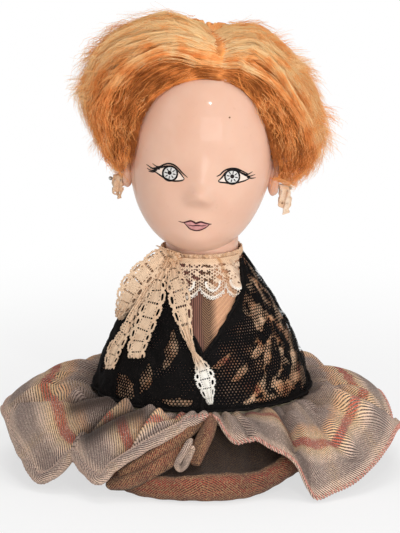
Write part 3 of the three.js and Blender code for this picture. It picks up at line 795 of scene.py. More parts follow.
@dataclass(frozen=True)
class BlackCord:
    """The rolled black edge of the shawl."""

    ink: Colour = tint("070606")
    thread_sheen: Colour = tint("2C2624")

    def make(self) -> Material:
        """Makes the material.

        Returns:
            The material.
        """
        graph = Graph("black_cord")
        twist = graph.noise(graph.place(), 0.8, 2.0)
        # Painted sheen on the cord's twist.
        colour = graph.ramp(twist, [(0.45, self.ink), (0.75, self.thread_sheen)])
        return graph.finish(colour, twist * 0.2 + 0.7, Normal=graph.relief(twist, 0.3),
                            Specular_IOR_Level=0.12)


@dataclass(frozen=True)
class CopperCloth:
    """The copper-brown lining that shows through the net."""

    bright: Colour = tint("FBD2AC")
    deep: Colour = tint("E0A274")
    red: Colour = tint("C2664A")
    thread: float = 0.5

    def make(self) -> Material:
        """Makes the material.

        Returns:
            The material.
        """
        graph = Graph("copper_cloth")
        place = graph.place()
        shade = graph.noise(place, 13.0, 3.0)
        colour = graph.ramp(shade, [(0.32, self.red), (0.42, self.deep), (0.62, self.bright)])
        height = graph.wave(graph.split(place)[2], self.thread) * 0.5 + 0.5
        return graph.finish(colour, shade * 0.25 + 0.4, Normal=graph.relief(height, 0.08),
                            Sheen_Weight=0.2, Sheen_Roughness=0.35)


@dataclass(frozen=True)
class PleatedNet:
    """Brown net in fine pleats: reddish on one side, dark and ribbed in the middle, tan on the other. Its
    hollows have painted shade, less on the tan side, and the middle's rib crests a painted highlight.
    """

    red: Colour = tint("8E5C4C")
    dark: Colour = tint("6E4A38")
    tan: Colour = tint("F2B890")
    crest_highlight: Colour = tint("C49868")
    gap: Colour = tint("2E1C14")
    rib: float = 1.3
    pleat: float = 1.25

    def make(self) -> Material:
        """Makes the material.

        Returns:
            The material.
        """
        graph = Graph("pleated_net")
        u, v, _ = graph.cloth()
        across = graph.band(graph.noise(graph.place(), 11.0, 2.0) * 5.0 + u, -14.0, 24.0)
        colour = graph.ramp(across, [(0.3, self.red), (0.42, self.dark), (0.6, self.dark), (0.74, self.tan)])
        rib = graph.wave(v - abs(u - 4.0) * 0.9, self.rib)
        fine = graph.wave(u, self.pleat)
        middle = graph.band(across, 0.36, 0.46)
        height = (fine + (rib - fine) * middle) * 0.5 + 0.5
        # Painted shade in the pleats' hollows, less on the tan side.
        depth = graph.band(across, 0.6, 0.78) * -0.5 + 0.75
        colour = graph.mix(graph.band(height, 0.5, 0.1) * depth, colour, self.gap)
        # Painted highlight on the crests of the middle's ribs.
        crest = graph.band(height, 0.65, 1.0) * middle
        colour = graph.mix(crest * 0.6, colour, self.crest_highlight)
        return graph.finish(colour, height * -0.2 + 0.85, Normal=graph.relief(height, 0.25),
                            Sheen_Weight=0.2, Sheen_Roughness=0.5)


@dataclass(frozen=True)
class PlaidWool:
    """Soft wool twill in a plain check: a red stripe round the skirt in a straw band, over rose and smoke
    checks. Its third cloth value is painted shade, in the folds' valleys, near the waist and on the left, and
    darkens it."""

    depth: float = 60.0
    repeat: float = 42.0
    rib: float = 1.6
    blur: float = 3.0
    rose: Colour = tint("F8D4BC")
    taupe: Colour = tint("CBB09C")
    smoke: Colour = tint("B0968A")
    camel: Colour = tint("F8BA8A")
    straw: Colour = tint("FFD4A0")
    red: Colour = tint("D0573A")
    shade: Colour = tint("34241C")
    fleck: Colour = tint("F7E4CE")

    def from_hem(self) -> list[tuple[float, Colour]]:
        """The threads that run round the skirt, by their share of the way from the hem to the waist."""
        return [
            (0.0, self.rose), (0.07, self.rose), (0.12, self.smoke), (0.27, self.smoke), (0.33, self.rose),
            (0.43, self.straw), (0.46, self.red), (0.53, self.red), (0.56, self.straw), (0.66, self.camel),
            (0.74, self.smoke), (1.0, self.smoke),
        ]

    def round_skirt(self) -> list[tuple[float, Colour]]:
        """The threads that run from the waist to the hem, by their share of one repeat."""
        return [
            (0.0, self.taupe), (0.14, self.smoke), (0.34, self.smoke), (0.48, self.taupe), (0.6, self.rose),
            (0.8, self.straw), (0.9, self.rose), (1.0, self.taupe),
        ]

    def make(self) -> Material:
        """Makes the material.

        Returns:
            The material.
        """
        graph = Graph("plaid_wool")
        place = graph.place()
        u, v, fold = graph.cloth()
        fuzz = graph.noise(place, 0.8, 3.0)
        stray = fuzz * self.blur - self.blur / 2
        weft = graph.ramp((v + stray) / self.depth, self.from_hem())
        warp = graph.ramp(graph.math("FRACT", (u + stray) / self.repeat), self.round_skirt())
        rib = graph.wave(u + v, self.rib) * 0.5 + 0.5
        knot = graph.noise(place, 0.55, 1.0)
        colour = graph.mix(graph.band(rib + knot, 1.15, 0.75), weft, warp)
        # Painted shade in the twill's grooves.
        groove = graph.band(rib, 0.62, 0.22) * graph.band(knot, 0.76, 0.46)
        colour = graph.mix(groove * 0.92, colour, self.shade)
        light = graph.band(knot, 0.52, 0.68) * graph.band(rib, 0.3, 0.8)
        colour = graph.mix(light * 0.65, colour, self.fleck)
        # Painted shade of the folds, the waist and the left side.
        colour = graph.mix(fold, colour, self.shade)
        return graph.finish(colour, fuzz * 0.1 + 0.86, Normal=graph.relief(knot * 0.8 + rib, 0.45),
                            Sheen_Weight=0.1, Sheen_Roughness=0.55)


@dataclass(frozen=True)
class BrownTweed:
    """Dark brown wool twill of the under layer, flecked with red and black. Its third cloth value reddens it
    where it is above zero, and is painted shade where it is below zero."""

    dark: Colour = tint("241610")
    brown: Colour = tint("7C533D")
    tan: Colour = tint("BC9066")
    red: Colour = tint("C2533C")
    rib: float = 1.5

    def make(self) -> Material:
        """Makes the material.

        Returns:
            The material.
        """
        graph = Graph("brown_tweed")
        place = graph.place()
        u, v, red_and_shade = graph.cloth()
        rib = graph.wave(u * 0.7 + v, self.rib) * 0.5 + 0.5
        knot = graph.noise(place, 0.7, 1.0)
        colour = graph.ramp(knot, [(0.36, self.brown), (0.68, self.tan)])
        colour = graph.mix(graph.band(knot, 0.62, 0.42) * graph.larger(red_and_shade, 0.0), colour, self.red)
        # Painted shade in the twill's grooves.
        groove = graph.band(rib, 0.75, 0.2) * graph.band(knot, 0.74, 0.42)
        colour = graph.mix(groove * 0.92, colour, self.dark)
        blotch = graph.band(graph.noise(place, 16.0, 2.0), 0.42, 0.75)
        colour = graph.mix(blotch * 0.3, colour, self.dark)
        # Painted shade where the third cloth value is below zero.
        colour = graph.mix(graph.larger(red_and_shade * -1.0, 0.0), colour, self.dark)
        return graph.finish(colour, knot * 0.1 + 0.86, Normal=graph.relief(knot * 0.8 + rib, 0.45),
                            Sheen_Weight=0.08, Sheen_Roughness=0.55)


@dataclass(frozen=True)
class HemThread:
    """Twisted sewing thread of the hem: faded red on one half, taupe on the other."""

    light: Colour = tint("E3A596")
    deep: Colour = tint("BE6A58")
    worn: Colour = tint("B79C8C")

    def make(self) -> Material:
        """Makes the material.

        Returns:
            The material.
        """
        graph = Graph("hem_thread")
        twist = graph.noise(graph.place(), 1.1, 3.0)
        colour = graph.ramp(twist, [(0.35, self.deep), (0.65, self.light)])
        colour = graph.mix(graph.carried("worn"), colour, self.worn)
        return graph.finish(colour, twist * 0.2 + 0.7, Normal=graph.relief(twist, 0.2),
                            Sheen_Weight=0.15, Sheen_Roughness=0.5)


@dataclass(frozen=True)
class PlainStuff:
    """Plain cotton, felt, card or bare wood: a grain of a given size between two colours."""

    name: str
    light: Colour
    deep: Colour
    grain: tuple[float, float, float]
    roughness: float = 0.85
    depth: float = 0.1
    metal: float = 0.0

    def make(self) -> Material:
        """Makes the material.

        Returns:
            The material.
        """
        graph = Graph(self.name)
        stretch = {0: graph.place(), 1: tuple(1 / size for size in self.grain)}
        grain = graph.add("ShaderNodeVectorMath", stretch, operation="MULTIPLY").outputs[0]
        mark = graph.noise(grain, 1.0, 4.0)
        colour = graph.ramp(mark, [(0.32, self.deep), (0.68, self.light)])
        return graph.finish(colour, mark * 0.2 + (self.roughness - 0.1),
                            Normal=graph.relief(mark, self.depth), Metallic=self.metal)


def dress(piece: Piece, body: str, material: Material,
          nodes: Sequence[str] = ()) -> Piece:
    """Gives a finished piece its material, its body and the solids that it stands for.

    Args:
        piece: The piece.
        body: The body that it moves with.
        material: Its finish.
        nodes: Solids that it replaces.

    Returns:
        The piece.
    """
    piece.data.materials.clear()
    piece.data.materials.append(material)
    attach(piece, body)
    if nodes:
        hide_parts(*nodes)
    LOG.info("%s: %d faces on %s", piece.name, len(piece.data.polygons), body)
    return piece


def declare(piece: Piece, wide: float, long: float, held: str, rests_on: Sequence[str],
            spare: float = 1.05, with_pieces: Sequence[Piece] = ()) -> None:
    """Says what a sheet was cut from. Its flat area follows from its own cloth and the spare in it.

    Args:
        piece: The sheet.
        wide: The flat width that it was cut from.
        long: The flat length that it was cut from.
        held: How it is held; not used.
        rests_on: What it lies on; not used.
        spare: Flat area for each part of the area that shows.
        with_pieces: Other pieces that are sewn to it; not used.
    """
    areas = np.empty(len(piece.data.polygons), np.float32)
    piece.data.polygons.foreach_get("area", areas)
    full = wide * long * MM * MM
    area = min(max(float(areas.sum()) / 2 * spare, 0.31 * full), full)
    wide * MM
    long * MM


@dataclass(frozen=True)
class PhotoView:
    """The photograph's view: which ray each pixel looks along. Its scale is millimetres to a pixel."""

    scale: float = 0.58
    elevation: float = 14.0
    distance: float = 6000.0
    width: int = 400
    height: int = 533
    axis_column: float = 202.0
    ground_row: float = 461.0
    sensor: float = 36.0

    @property
    def target(self) -> Array:
        """The point in the middle of the frame, on the plane through the doll's axis.

        Returns:
            The point.
        """
        across = (self.width / 2 - self.axis_column) * self.scale
        up = (self.ground_row - self.height / 2) * self.scale / math.cos(math.radians(self.elevation))
        return np.array([across, 0.0, up])

    def axes(self) -> tuple[Array, Array, Array]:
        """The view's right, up and forward directions."""
        sine, cosine = sine_cosine(self.elevation)
        return np.array([1.0, 0, 0]), np.array([0, sine, cosine]), np.array([0, cosine, -sine])

    def ray(self, pixel: Pixel) -> tuple[Vector, Vector]:
        """The ray through a pixel.

        Args:
            pixel: Column and row.

        Returns:
            Its start, in metres, and its direction.
        """
        right, up, forward = self.axes()
        start = self.target - forward * self.distance
        across = (pixel[0] - self.width / 2) * self.scale
        rise = (self.height / 2 - pixel[1]) * self.scale
        course = forward * self.distance + right * across + up * rise
        return Vector(start * MM), Vector(course).normalized()

    def pixels(self, points: Array) -> Array:
        """The pixels at which points are seen.

        Args:
            points: Points along the last axis.

        Returns:
            A column and a row for each point.
        """
        right, up, forward = self.axes()
        off = points - self.target
        scale = self.scale * (1 + off @ forward / self.distance)
        return joined(self.width / 2 + off @ right / scale, self.height / 2 - off @ up / scale)

    def camera(self) -> None:
        """Makes the scene's camera."""
        data = bpy.data.cameras.new("camera")
        data.sensor_fit = "VERTICAL"
        data.sensor_height = self.sensor
        data.lens = self.sensor * self.distance / (self.height * self.scale)
        data.clip_end = 60.0
        camera = bpy.data.objects.new("camera", data)
        bpy.context.scene.collection.objects.link(camera)
        _, _, forward = self.axes()
        camera.location = Vector((self.target - forward * self.distance) * MM)
        camera.rotation_euler = (math.radians(90 - self.elevation), 0, 0)
        bpy.context.scene.camera = camera


@dataclass
class Studio:
    """Pale floor, soft lamps and a white surround. A lamp is its name, its place and side in metres, and its
    watts."""

    floor_half: float = 4000.0
    floor_colour: Colour = (0.93, 0.93, 0.93, 1.0)
    ambient: float = 0.25
    near: float = 170.0
    away: float = 520.0
    near_glow: float = 0.66
    swirl: float = 300.0
    dull: Colour = (0.9, 0.9, 0.9, 1.0)
    aim: tuple[float, float, float] = (0.0, 0.0, 0.13)
    lamps: tuple[tuple[str, tuple[float, float, float], float, float], ...] = (
        ("key_lamp", (0.6, -1.45, 0.5), 1.2, 4.6), ("left_lamp", (-1.5, -0.9, 0.8), 1.0, 4.0),
        ("right_lamp", (1.5, -0.7, 0.7), 1.0, 6.2), ("top_lamp", (0.0, 0.3, 1.9), 1.2, 13.0),
        ("front_lamp", (0.35, -1.9, 0.42), 0.9, 11.0), ("glint_lamp", (0.2, -1.5, 1.29), 0.085, 4.0),
    )

    def lamp(self, name: str, place: tuple[float, float, float], size: float, watts: float) -> None:
        """Hangs a soft square lamp that faces the doll.

        Args:
            name: The lamp's name.
            place: Where it hangs, in metres.
            size: Its side, in metres.
            watts: Its power.
        """
        data = bpy.data.lights.new(name, "AREA")
        data.size = size
        data.energy = watts
        lamp = bpy.data.objects.new(name, data)
        bpy.context.scene.collection.objects.link(lamp)
        lamp.location = place
        course = Vector(self.aim) - Vector(place)
        lamp.rotation_euler = course.to_track_quat("-Z", "Y").to_euler()

    def floor(self) -> None:
        """Lays the floor, which shows white to the camera and keeps the doll's shadow."""
        bpy.ops.object.select_all(action="DESELECT")
        bpy.ops.mesh.primitive_plane_add(size=2 * self.floor_half * MM, location=(0, 0, 0))
        floor = bpy.context.active_object
        floor.name = "floor"
        bpy.ops.object.transform_apply()
        graph = Graph("studio_floor")
        place = graph.place()
        shade = graph.ramp(graph.noise(place, self.swirl, 1.0), [(0.0, self.dull), (1.0, self.floor_colour)])
        matt = graph.add("ShaderNodeBsdfDiffuse", {0: shade})
        glow = graph.add("ShaderNodeEmission", {0: (1, 1, 1, 1), 1: 1.0})
        path = graph.add("ShaderNodeLightPath")
        seen = graph.larger(path.outputs["Is Camera Ray"], path.outputs["Is Glossy Ray"])
        seen = graph.larger(seen, path.outputs["Is Transmission Ray"])
        distance = graph.add("ShaderNodeVectorMath", {0: place}, operation="LENGTH").outputs["Value"]
        far = graph.band(distance, self.near, self.away)
        share = far * (1 - self.near_glow) + self.near_glow
        inputs = {0: seen * share, 1: matt.outputs[0], 2: glow.outputs[0]}
        blend = graph.add("ShaderNodeMixShader", inputs)
        output = graph.add("ShaderNodeOutputMaterial")
        graph.tree.links.new(blend.outputs[0], output.inputs[0])
        floor.data.materials.append(graph.material)

    def surround(self) -> None:
        """Makes the world white to the eye and a soft fill light to the doll."""
        world = bpy.data.worlds.new("surround")
        bpy.context.scene.world = world
        world.use_nodes = True
        nodes, links = world.node_tree.nodes, world.node_tree.links
        nodes.clear()
        path = nodes.new("ShaderNodeLightPath")
        seen = nodes.new("ShaderNodeMath")
        seen.operation = "MAXIMUM"
        links.new(path.outputs["Is Camera Ray"], seen.inputs[0])
        links.new(path.outputs["Is Transmission Ray"], seen.inputs[1])
        strength = nodes.new("ShaderNodeMapRange")
        strength.inputs["To Min"].default_value = self.ambient
        strength.inputs["To Max"].default_value = 1.0
        links.new(seen.outputs[0], strength.inputs["Value"])
        ground = nodes.new("ShaderNodeBackground")
        links.new(strength.outputs[0], ground.inputs["Strength"])
        ground.inputs["Color"].default_value = (1, 1, 1, 1)
        output = nodes.new("ShaderNodeOutputWorld")
        links.new(ground.outputs[0], output.inputs[0])

    def build(self) -> None:
        """Sets up the whole studio."""
        self.floor()
        self.surround()
        for lamp in self.lamps:
            self.lamp(*lamp)
        bpy.context.scene.view_settings.view_transform = "Standard"


@dataclass(frozen=True)
class Swell:
    """A soft bump or hollow on the face, in the head's own frame."""

    across: float
    above: float
    height: float
    half_width: float
    half_tall: float


@dataclass
class Head:
    """The moulded head: an egg with a small nose, a full chin, ears and a neck."""

    centre: tuple[float, float, float] = (1.0, 0.0, 197.0)
    tilt: float = 3.6
    half_width: float = 42.0
    front: float = 45.0
    back: float = 48.0
    up: float = 53.0
    down: float = 65.0
    plan_power: float = 2.2
    crown_power: float = 2.05
    jaw_power: float = 2.5
    chin_power: float = 3.4
    chin_drop: float = 3.0
    jaw_shift: float = 1.1
    ear_half: tuple[float, float, float] = (3.6, 7.0, 11.0)
    ear_drop: float = 25.0
    neck_radius: float = 21.0
    neck_wall: float = 2.2
    neck_bottom: float = 116.0
    neck_top: float = 143.0
    segments: int = 224
    rings: int = 150
    swells: tuple[Swell, ...] = (
        Swell(0, -27.5, 6.4, 7.0, 5.6), Swell(0, -17, 2.0, 6.0, 9.0), Swell(5.2, -30.5, 1.3, 3.4, 3.2),
        Swell(-5.2, -30.5, 1.3, 3.4, 3.2), Swell(18, -14, -1.4, 9.0, 6.5), Swell(-18, -14, -1.4, 9.0, 6.5),
        Swell(0, -43.5, 1.6, 8.0, 4.5), Swell(0, -48.5, -0.7, 7.0, 2.5), Swell(0, -54, 4.0, 12.0, 8.0),
        Swell(21, -32, 1.2, 10.0, 9.0), Swell(-21, -32, 1.2, 10.0, 9.0),
    )

    def surface(self, directions: Array, swell: float = 0.0) -> Array:
        """The head's bare egg along directions from its centre, in its own frame.

        Args:
            directions: Directions of length one.
            swell: How far the egg is grown.

        Returns:
            The points of the surface.
        """
        x, y, z = directions[..., 0], directions[..., 1], directions[..., 2]
        depth = np.where(y < 0, self.front, self.back) + swell
        power = self.plan_power
        plan = (np.abs(x / (self.half_width + swell)) ** power + np.abs(y / depth) ** power) ** (1 / power)
        rise = np.abs(z) / (np.where(z < 0, self.down, self.up) + swell)
        ahead = (np.maximum(-y, 0) / np.maximum(np.hypot(x, y), 1e-6)) ** 2
        full = np.where(z < 0, self.jaw_power + (self.chin_power - self.jaw_power) * ahead, self.crown_power)
        return directions * ((plan ** full + rise ** full) ** (-1 / full))[..., None]

    def features(self, points: Array) -> Array:
        """How far the face's features push the surface forwards.

        Args:
            points: Points of the egg, in the head's own frame.

        Returns:
            A push for each point.
        """
        push = np.zeros(points.shape[:-1])
        for form in self.swells:
            push += form.height * bell(points[..., 0] - form.across, form.half_width) * bell(
                points[..., 2] - form.above, form.half_tall)
        return np.where(points[..., 1] < 0, push * smooth(0, 20, -points[..., 1]), 0)

    def to_doll(self, points: Array) -> Array:
        """Tilts points of the head's own frame and sets them on the neck.

        Args:
            points: Points in the head's own frame.

        Returns:
            Points in the doll's frame.
        """
        sine, cosine = sine_cosine(self.tilt)
        x, y, z = points[..., 0], points[..., 1], points[..., 2]
        return joined(x * cosine + z * sine, y, z * cosine - x * sine) + np.array(self.centre)

    def egg(self) -> Piece:
        """Shapes a ball into the head with its face.

        Returns:
            The head.
        """
        piece = ball("head", self.segments, self.rings)
        points = self.surface(unit(vertices_of(piece)))
        points[:, 1] -= self.features(points)
        under = smooth(-38, -60, points[:, 2]) * smooth(0, -22, points[:, 1])
        points[:, 2] -= self.chin_drop * bell(points[:, 0], 24) * under
        points[:, 0] -= self.jaw_shift * smooth(-8, -45, points[:, 2])
        move_vertices(piece, self.to_doll(points))
        return piece

    def ear(self, side: int) -> Piece:
        """Shapes a ball into an ear with a hollow and a rim.

        Args:
            side: -1 for the viewer's left, 1 for the right.

        Returns:
            The ear.
        """
        piece = ball(f"ear_{side}", 40, 28)
        points = vertices_of(piece)
        y, z = points[:, 1], points[:, 2]
        outer = points[:, 0] * side > 0
        hollow = 0.55 * bell(np.hypot(y + 0.15, z - 0.15), 0.5) - 0.25 * bell(np.hypot(y, z) - 0.78, 0.16)
        points[:, 0] -= np.where(outer, side * hollow, 0)
        points[:, 1] *= 1 - 0.3 * smooth(0.2, -1.0, z)
        points = points * np.array(self.ear_half) + np.array([side * self.half_width, 0, -self.ear_drop])
        move_vertices(piece, self.to_doll(points))
        return piece

    def neck(self) -> Piece:
        """Makes the hollow neck out of a cylinder.

        Returns:
            The neck.
        """
        bpy.ops.object.select_all(action="DESELECT")
        tall = self.neck_top - self.neck_bottom
        bpy.ops.mesh.primitive_cylinder_add(
            vertices=96, radius=self.neck_radius * MM, depth=tall * MM, end_fill_type="NOTHING",
            location=(0, 0, (self.neck_bottom + tall / 2) * MM))
        piece = bpy.context.active_object
        bpy.ops.object.transform_apply()
        bpy.ops.object.shade_smooth()
        thicken(piece, self.neck_wall, -1)
        return piece

    def build(self, finish: SkinPlastic) -> Piece:
        """Builds the head and dresses it.

        Args:
            finish: Its plastic.

        Returns:
            The head.
        """
        head = self.egg()
        others = [self.ear(-1), self.ear(1), self.neck()]
        activate(head)
        for piece in others:
            piece.select_set(True)
        bpy.ops.object.join()
        dress(head, "head", finish.make(), ("head_front_shell", "head_back_shell"))
        return head


class Taper(Enum):
    """How a brush stroke's width runs."""

    EVEN = 0
    END = 1
    BOTH = 2


@dataclass(frozen=True)
class Stroke:
    """A brush stroke through pixels of the photograph."""

    pixels: tuple[Pixel, ...]
    width: float
    taper: Taper = Taper.BOTH


@dataclass
class FacePaint:
    """The face that is drawn on the head: two eyes, a mouth and a speck on the forehead."""

    view: PhotoView
    head: Piece
    left_eye: tuple[Pixel, ...] = (
        (153.4, 170.6), (158.7, 168.0), (163.5, 166.8), (169.2, 166.2), (174.0, 167.2), (179.7, 172.5),
        (184.5, 178.9), (182.2, 180.4), (175.9, 181.0), (170.2, 180.3), (163.5, 177.3), (157.7, 173.4),
    )
    right_eye: tuple[Pixel, ...] = (
        (218.0, 181.1), (221.8, 177.5), (225.7, 172.6), (231.4, 169.9), (238.1, 171.0), (243.8, 174.4),
        (250.5, 177.7), (244.8, 180.6), (238.1, 182.5), (231.4, 183.4), (224.7, 182.7), (219.6, 182.0),
    )
    lips: tuple[Pixel, ...] = (
        (183.6, 222.4), (187.4, 221.5), (190.7, 220.8), (193.4, 221.8), (196.0, 223.2), (198.4, 222.4),
        (200.8, 221.9), (205.6, 223.2), (209.9, 224.1), (206.5, 227.0), (200.8, 229.9), (196.0, 230.5),
        (190.3, 228.9), (186.4, 225.1),
    )
    irises: tuple[Pixel, Pixel] = ((170.2, 173.4), (232.2, 176.6))
    pupils: tuple[Pixel, Pixel] = ((169.7, 172.8), (232.2, 176.4))
    iris_radius: float = 7.3
    pupil_radius: float = 2.1
    speck: Pixel = (229.6, 117.5)

    def __post_init__(self) -> None:
        """Makes the head's surface ready to be painted on."""
        points = vertices_of(self.head) * MM
        faces = [tuple(face.vertices) for face in self.head.data.polygons]
        self.skin = BVHTree.FromPolygons([Vector(p) for p in points], faces)

    def touch(self, pixel: Pixel) -> tuple[Array, Array]:
        """Where a pixel's ray meets the head.

        Args:
            pixel: Column and row.

        Returns:
            The point in millimetres, and the surface's direction there.
        """
        start, course = self.view.ray(pixel)
        spot, normal, _, _ = self.skin.ray_cast(start, course)
        return np.array(spot) / MM, np.array(normal)

    def line(self, stroke: Stroke, lift: float) -> tuple[Array, Array]:
        """Draws a stroke on the head.

        Args:
            stroke: The stroke.
            lift: How far it stands off the skin.

        Returns:
            The points and faces of a narrow strip.
        """
        stops = np.array(stroke.pixels)
        share = np.linspace(0, 1, 8 * (len(stops) - 1) + 1)
        pixels = through(stops, share)
        touches = [self.touch((p[0], p[1])) for p in pixels]
        points, normals = (np.array(part) for part in zip(*touches))
        width = np.full(len(share), stroke.width * self.view.scale)
        if stroke.taper is Taper.BOTH:
            width *= 0.25 + 0.75 * np.sin(math.pi * share) ** 0.6
        if stroke.taper is Taper.END:
            width *= 0.2 + 0.8 * (1 - share) ** 0.7
        side = unit(np.cross(normals, np.gradient(points, axis=0))) * width[:, None] / 2
        points = points + normals * lift
        both = np.stack([points - side, points + side], axis=1).reshape(-1, 3)
        return both, lattice(len(share), 2, False)

    def patch(self, pixels: Sequence[Pixel], lift: float, rings: int = 5) -> tuple[Array, Array]:
        """Fills a closed outline on the head.

        Args:
            pixels: The outline's stops.
            lift: How far the paint stands off the skin.
            rings: How many steps there are from the middle to the edge.

        Returns:
            The points and faces of the patch.
        """
        stops = np.array(list(pixels) + [pixels[0]])
        edge = through(stops, np.linspace(0, 1, 4 * len(pixels) + 1))[:-1]
        middle = edge.mean(axis=0)
        shares = np.linspace(0.02, 1, rings)
        points = []
        for outline in edge:
            for share in shares:
                spot, normal = self.touch(tuple(middle + (outline - middle) * share))
                points.append(spot + normal * lift)
        return np.array(points), lattice(len(edge), rings, True)

    def paint(self, name: str, parts: list[tuple[Array, Array]], finish: HandPaint) -> None:
        """Joins strokes and patches of one colour into a piece.

        Args:
            name: The piece's name.
            parts: Points and faces of each part.
            finish: The paint.
        """
        starts = np.cumsum([0] + [len(points) for points, _ in parts[:-1]])
        points = np.concatenate([points for points, _ in parts])
        faces = np.concatenate([faces + start for (_, faces), start in zip(parts, starts)])
        piece = build(name, points, faces)
        thicken(piece, 0.05)
        activate(piece)
        bpy.ops.object.mode_set(mode="EDIT")
        bpy.ops.mesh.select_all(action="SELECT")
        bpy.ops.mesh.normals_make_consistent(inside=False)
        bpy.ops.object.mode_set(mode="OBJECT")
        dress(piece, "head", finish.make())

    def round(self, middle: Pixel, radius: float, count: int = 14) -> list[Pixel]:
        """Pixels on a circle."""
        turns = np.linspace(0, 2 * math.pi, count, endpoint=False)
        return [(middle[0] + radius * math.cos(t), middle[1] + radius * math.sin(t)) for t in turns]

    def ticks(self, middle: Pixel) -> list[Stroke]:
        """The short rays drawn in an iris.

        Args:
            middle: The iris's middle.

        Returns:
            The strokes.
        """
        strokes = []
        for turn in np.arange(8) * math.pi / 4 + 0.2:
            ray = np.array([math.cos(turn), math.sin(turn)])
            inner, outer = np.array(middle) + ray * 2.9, np.array(middle) + ray * 5.6
            strokes.append(Stroke((tuple(inner), tuple(outer)), 1.0, Taper.EVEN))
        return strokes

    def ink(self) -> list[Stroke]:
        """All the lines that are drawn in black.

        Returns:
            The strokes.
        """
        lines = [
            Stroke(((150.6, 168.4), (158.7, 167.0), (163.5, 164.8), (168.3, 163.5), (173.0, 164.4),
                    (177.8, 167.7), (182.6, 173.0), (187.6, 177.5)), 1.7),
            Stroke(self.left_eye[:7], 2.0), Stroke(self.left_eye[6:] + self.left_eye[:1], 1.7),
            Stroke(((160.0, 168.6), (153.0, 168.4), (146.6, 164.4)), 2.0, Taper.END),
            Stroke(((157.0, 170.0), (151.0, 170.2), (147.0, 168.0)), 1.8, Taper.END),
            Stroke(((162.5, 166.6), (157.0, 166.4), (152.6, 163.4)), 1.7, Taper.END),
            Stroke(((156.0, 171.6), (151.5, 171.8), (148.6, 171.0)), 1.6, Taper.END),
            Stroke(((216.6, 176.4), (219.9, 174.8), (223.8, 171.0), (229.5, 168.6), (236.2, 168.6),
                    (242.9, 171.4), (249.0, 174.4)), 1.7),
            Stroke(self.right_eye[:7], 2.1), Stroke(self.right_eye[6:] + self.right_eye[:1], 1.6),
            Stroke(((242.0, 173.2), (247.0, 174.4), (252.4, 171.6)), 2.0, Taper.END),
            Stroke(((244.5, 175.0), (249.0, 176.2), (255.0, 174.4)), 1.9, Taper.END),
            Stroke(((247.0, 177.0), (251.0, 178.2), (255.6, 177.6)), 1.8, Taper.END),
        ]
        for middle in self.irises:
            circle = self.round(middle, self.iris_radius)
            lines.append(Stroke(tuple(circle + circle[:1]), 1.9, Taper.EVEN))
            lines.extend(self.ticks(middle))
        return lines

    def mouth_lines(self) -> list[Stroke]:
        """The lines that are drawn round and through the lips."""
        return [
            Stroke(((178.6, 221.2),) + self.lips[:9] + ((211.6, 224.0),), 1.8),
            Stroke(self.lips[8:] + self.lips[:1], 1.4),
            Stroke(((187.4, 224.6), (192.2, 225.7), (197.0, 225.4), (201.8, 225.8), (206.8, 224.8)), 1.2),
        ]

    def build(self) -> None:
        """Paints the face."""
        self.paint("eye_whites", [self.patch(self.left_eye, 0.03), self.patch(self.right_eye, 0.03)],
                   HandPaint("eye_white_paint", tint("F6E2D4"), tint("F0D3C1"), 0.3))
        self.paint("irises", [self.patch(self.round(m, self.iris_radius), 0.08) for m in self.irises],
                   HandPaint("iris_paint", tint("D6D3D0"), tint("E6E2DD"), 0.3))
        self.paint("pupils", [self.patch(self.round(m, self.pupil_radius), 0.14, 3) for m in self.pupils],
                   HandPaint("pupil_paint", tint("0E0908"), tint("2A1C1A"), 0.3))
        self.paint("eye_lines", [self.line(stroke, 0.15) for stroke in self.ink()],
                   HandPaint("eye_ink", tint("060404"), tint("1C110F"), 0.4))
        self.paint("lips", [self.patch(self.lips, 0.04)],
                   HandPaint("lip_paint", tint("CD8C8A"), tint("DFA8A0"), 0.35))
        self.paint("mouth_lines", [self.line(stroke, 0.1) for stroke in self.mouth_lines()],
                   HandPaint("mouth_ink", tint("34141A"), tint("5A262C"), 0.4))
        self.paint("forehead_speck", [self.patch(self.round(self.speck, 0.9, 8), 0.04, 3)],
                   HandPaint("speck_mark", tint("6E4A38"), tint("A67C62"), 0.4))


@dataclass(frozen=True)
class Lobe:
    """A puff of hair: its middle from the head's centre, and its half sizes."""

    middle: tuple[float, float, float]
    half: tuple[float, float, float]


@dataclass(frozen=True)
class HairLayer:
    """How one layer of hair is brushed. Pairs are the least and the most, and spread is how far from the
    parting a strand may start."""

    name: str
    strands: int
    locks: int
    back: tuple[float, float]
    end: tuple[float, float]
    level: tuple[float, float]
    tone: float
    frizz: float
    flare: float
    radius: float
    spread: float = 0.0


@dataclass(frozen=True)
class CurlLayer:
    """Curly ends in clumps. Pairs are the least and the most: how far round and back they start, their level
    and how far it rises, the size of their curl, and their tone."""

    name: str
    strands: int
    clumps: int
    turn: tuple[float, float]
    back: tuple[float, float]
    level: tuple[float, float]
    rise: tuple[float, float]
    size: tuple[float, float]
    tone: tuple[float, float]
    radius: float


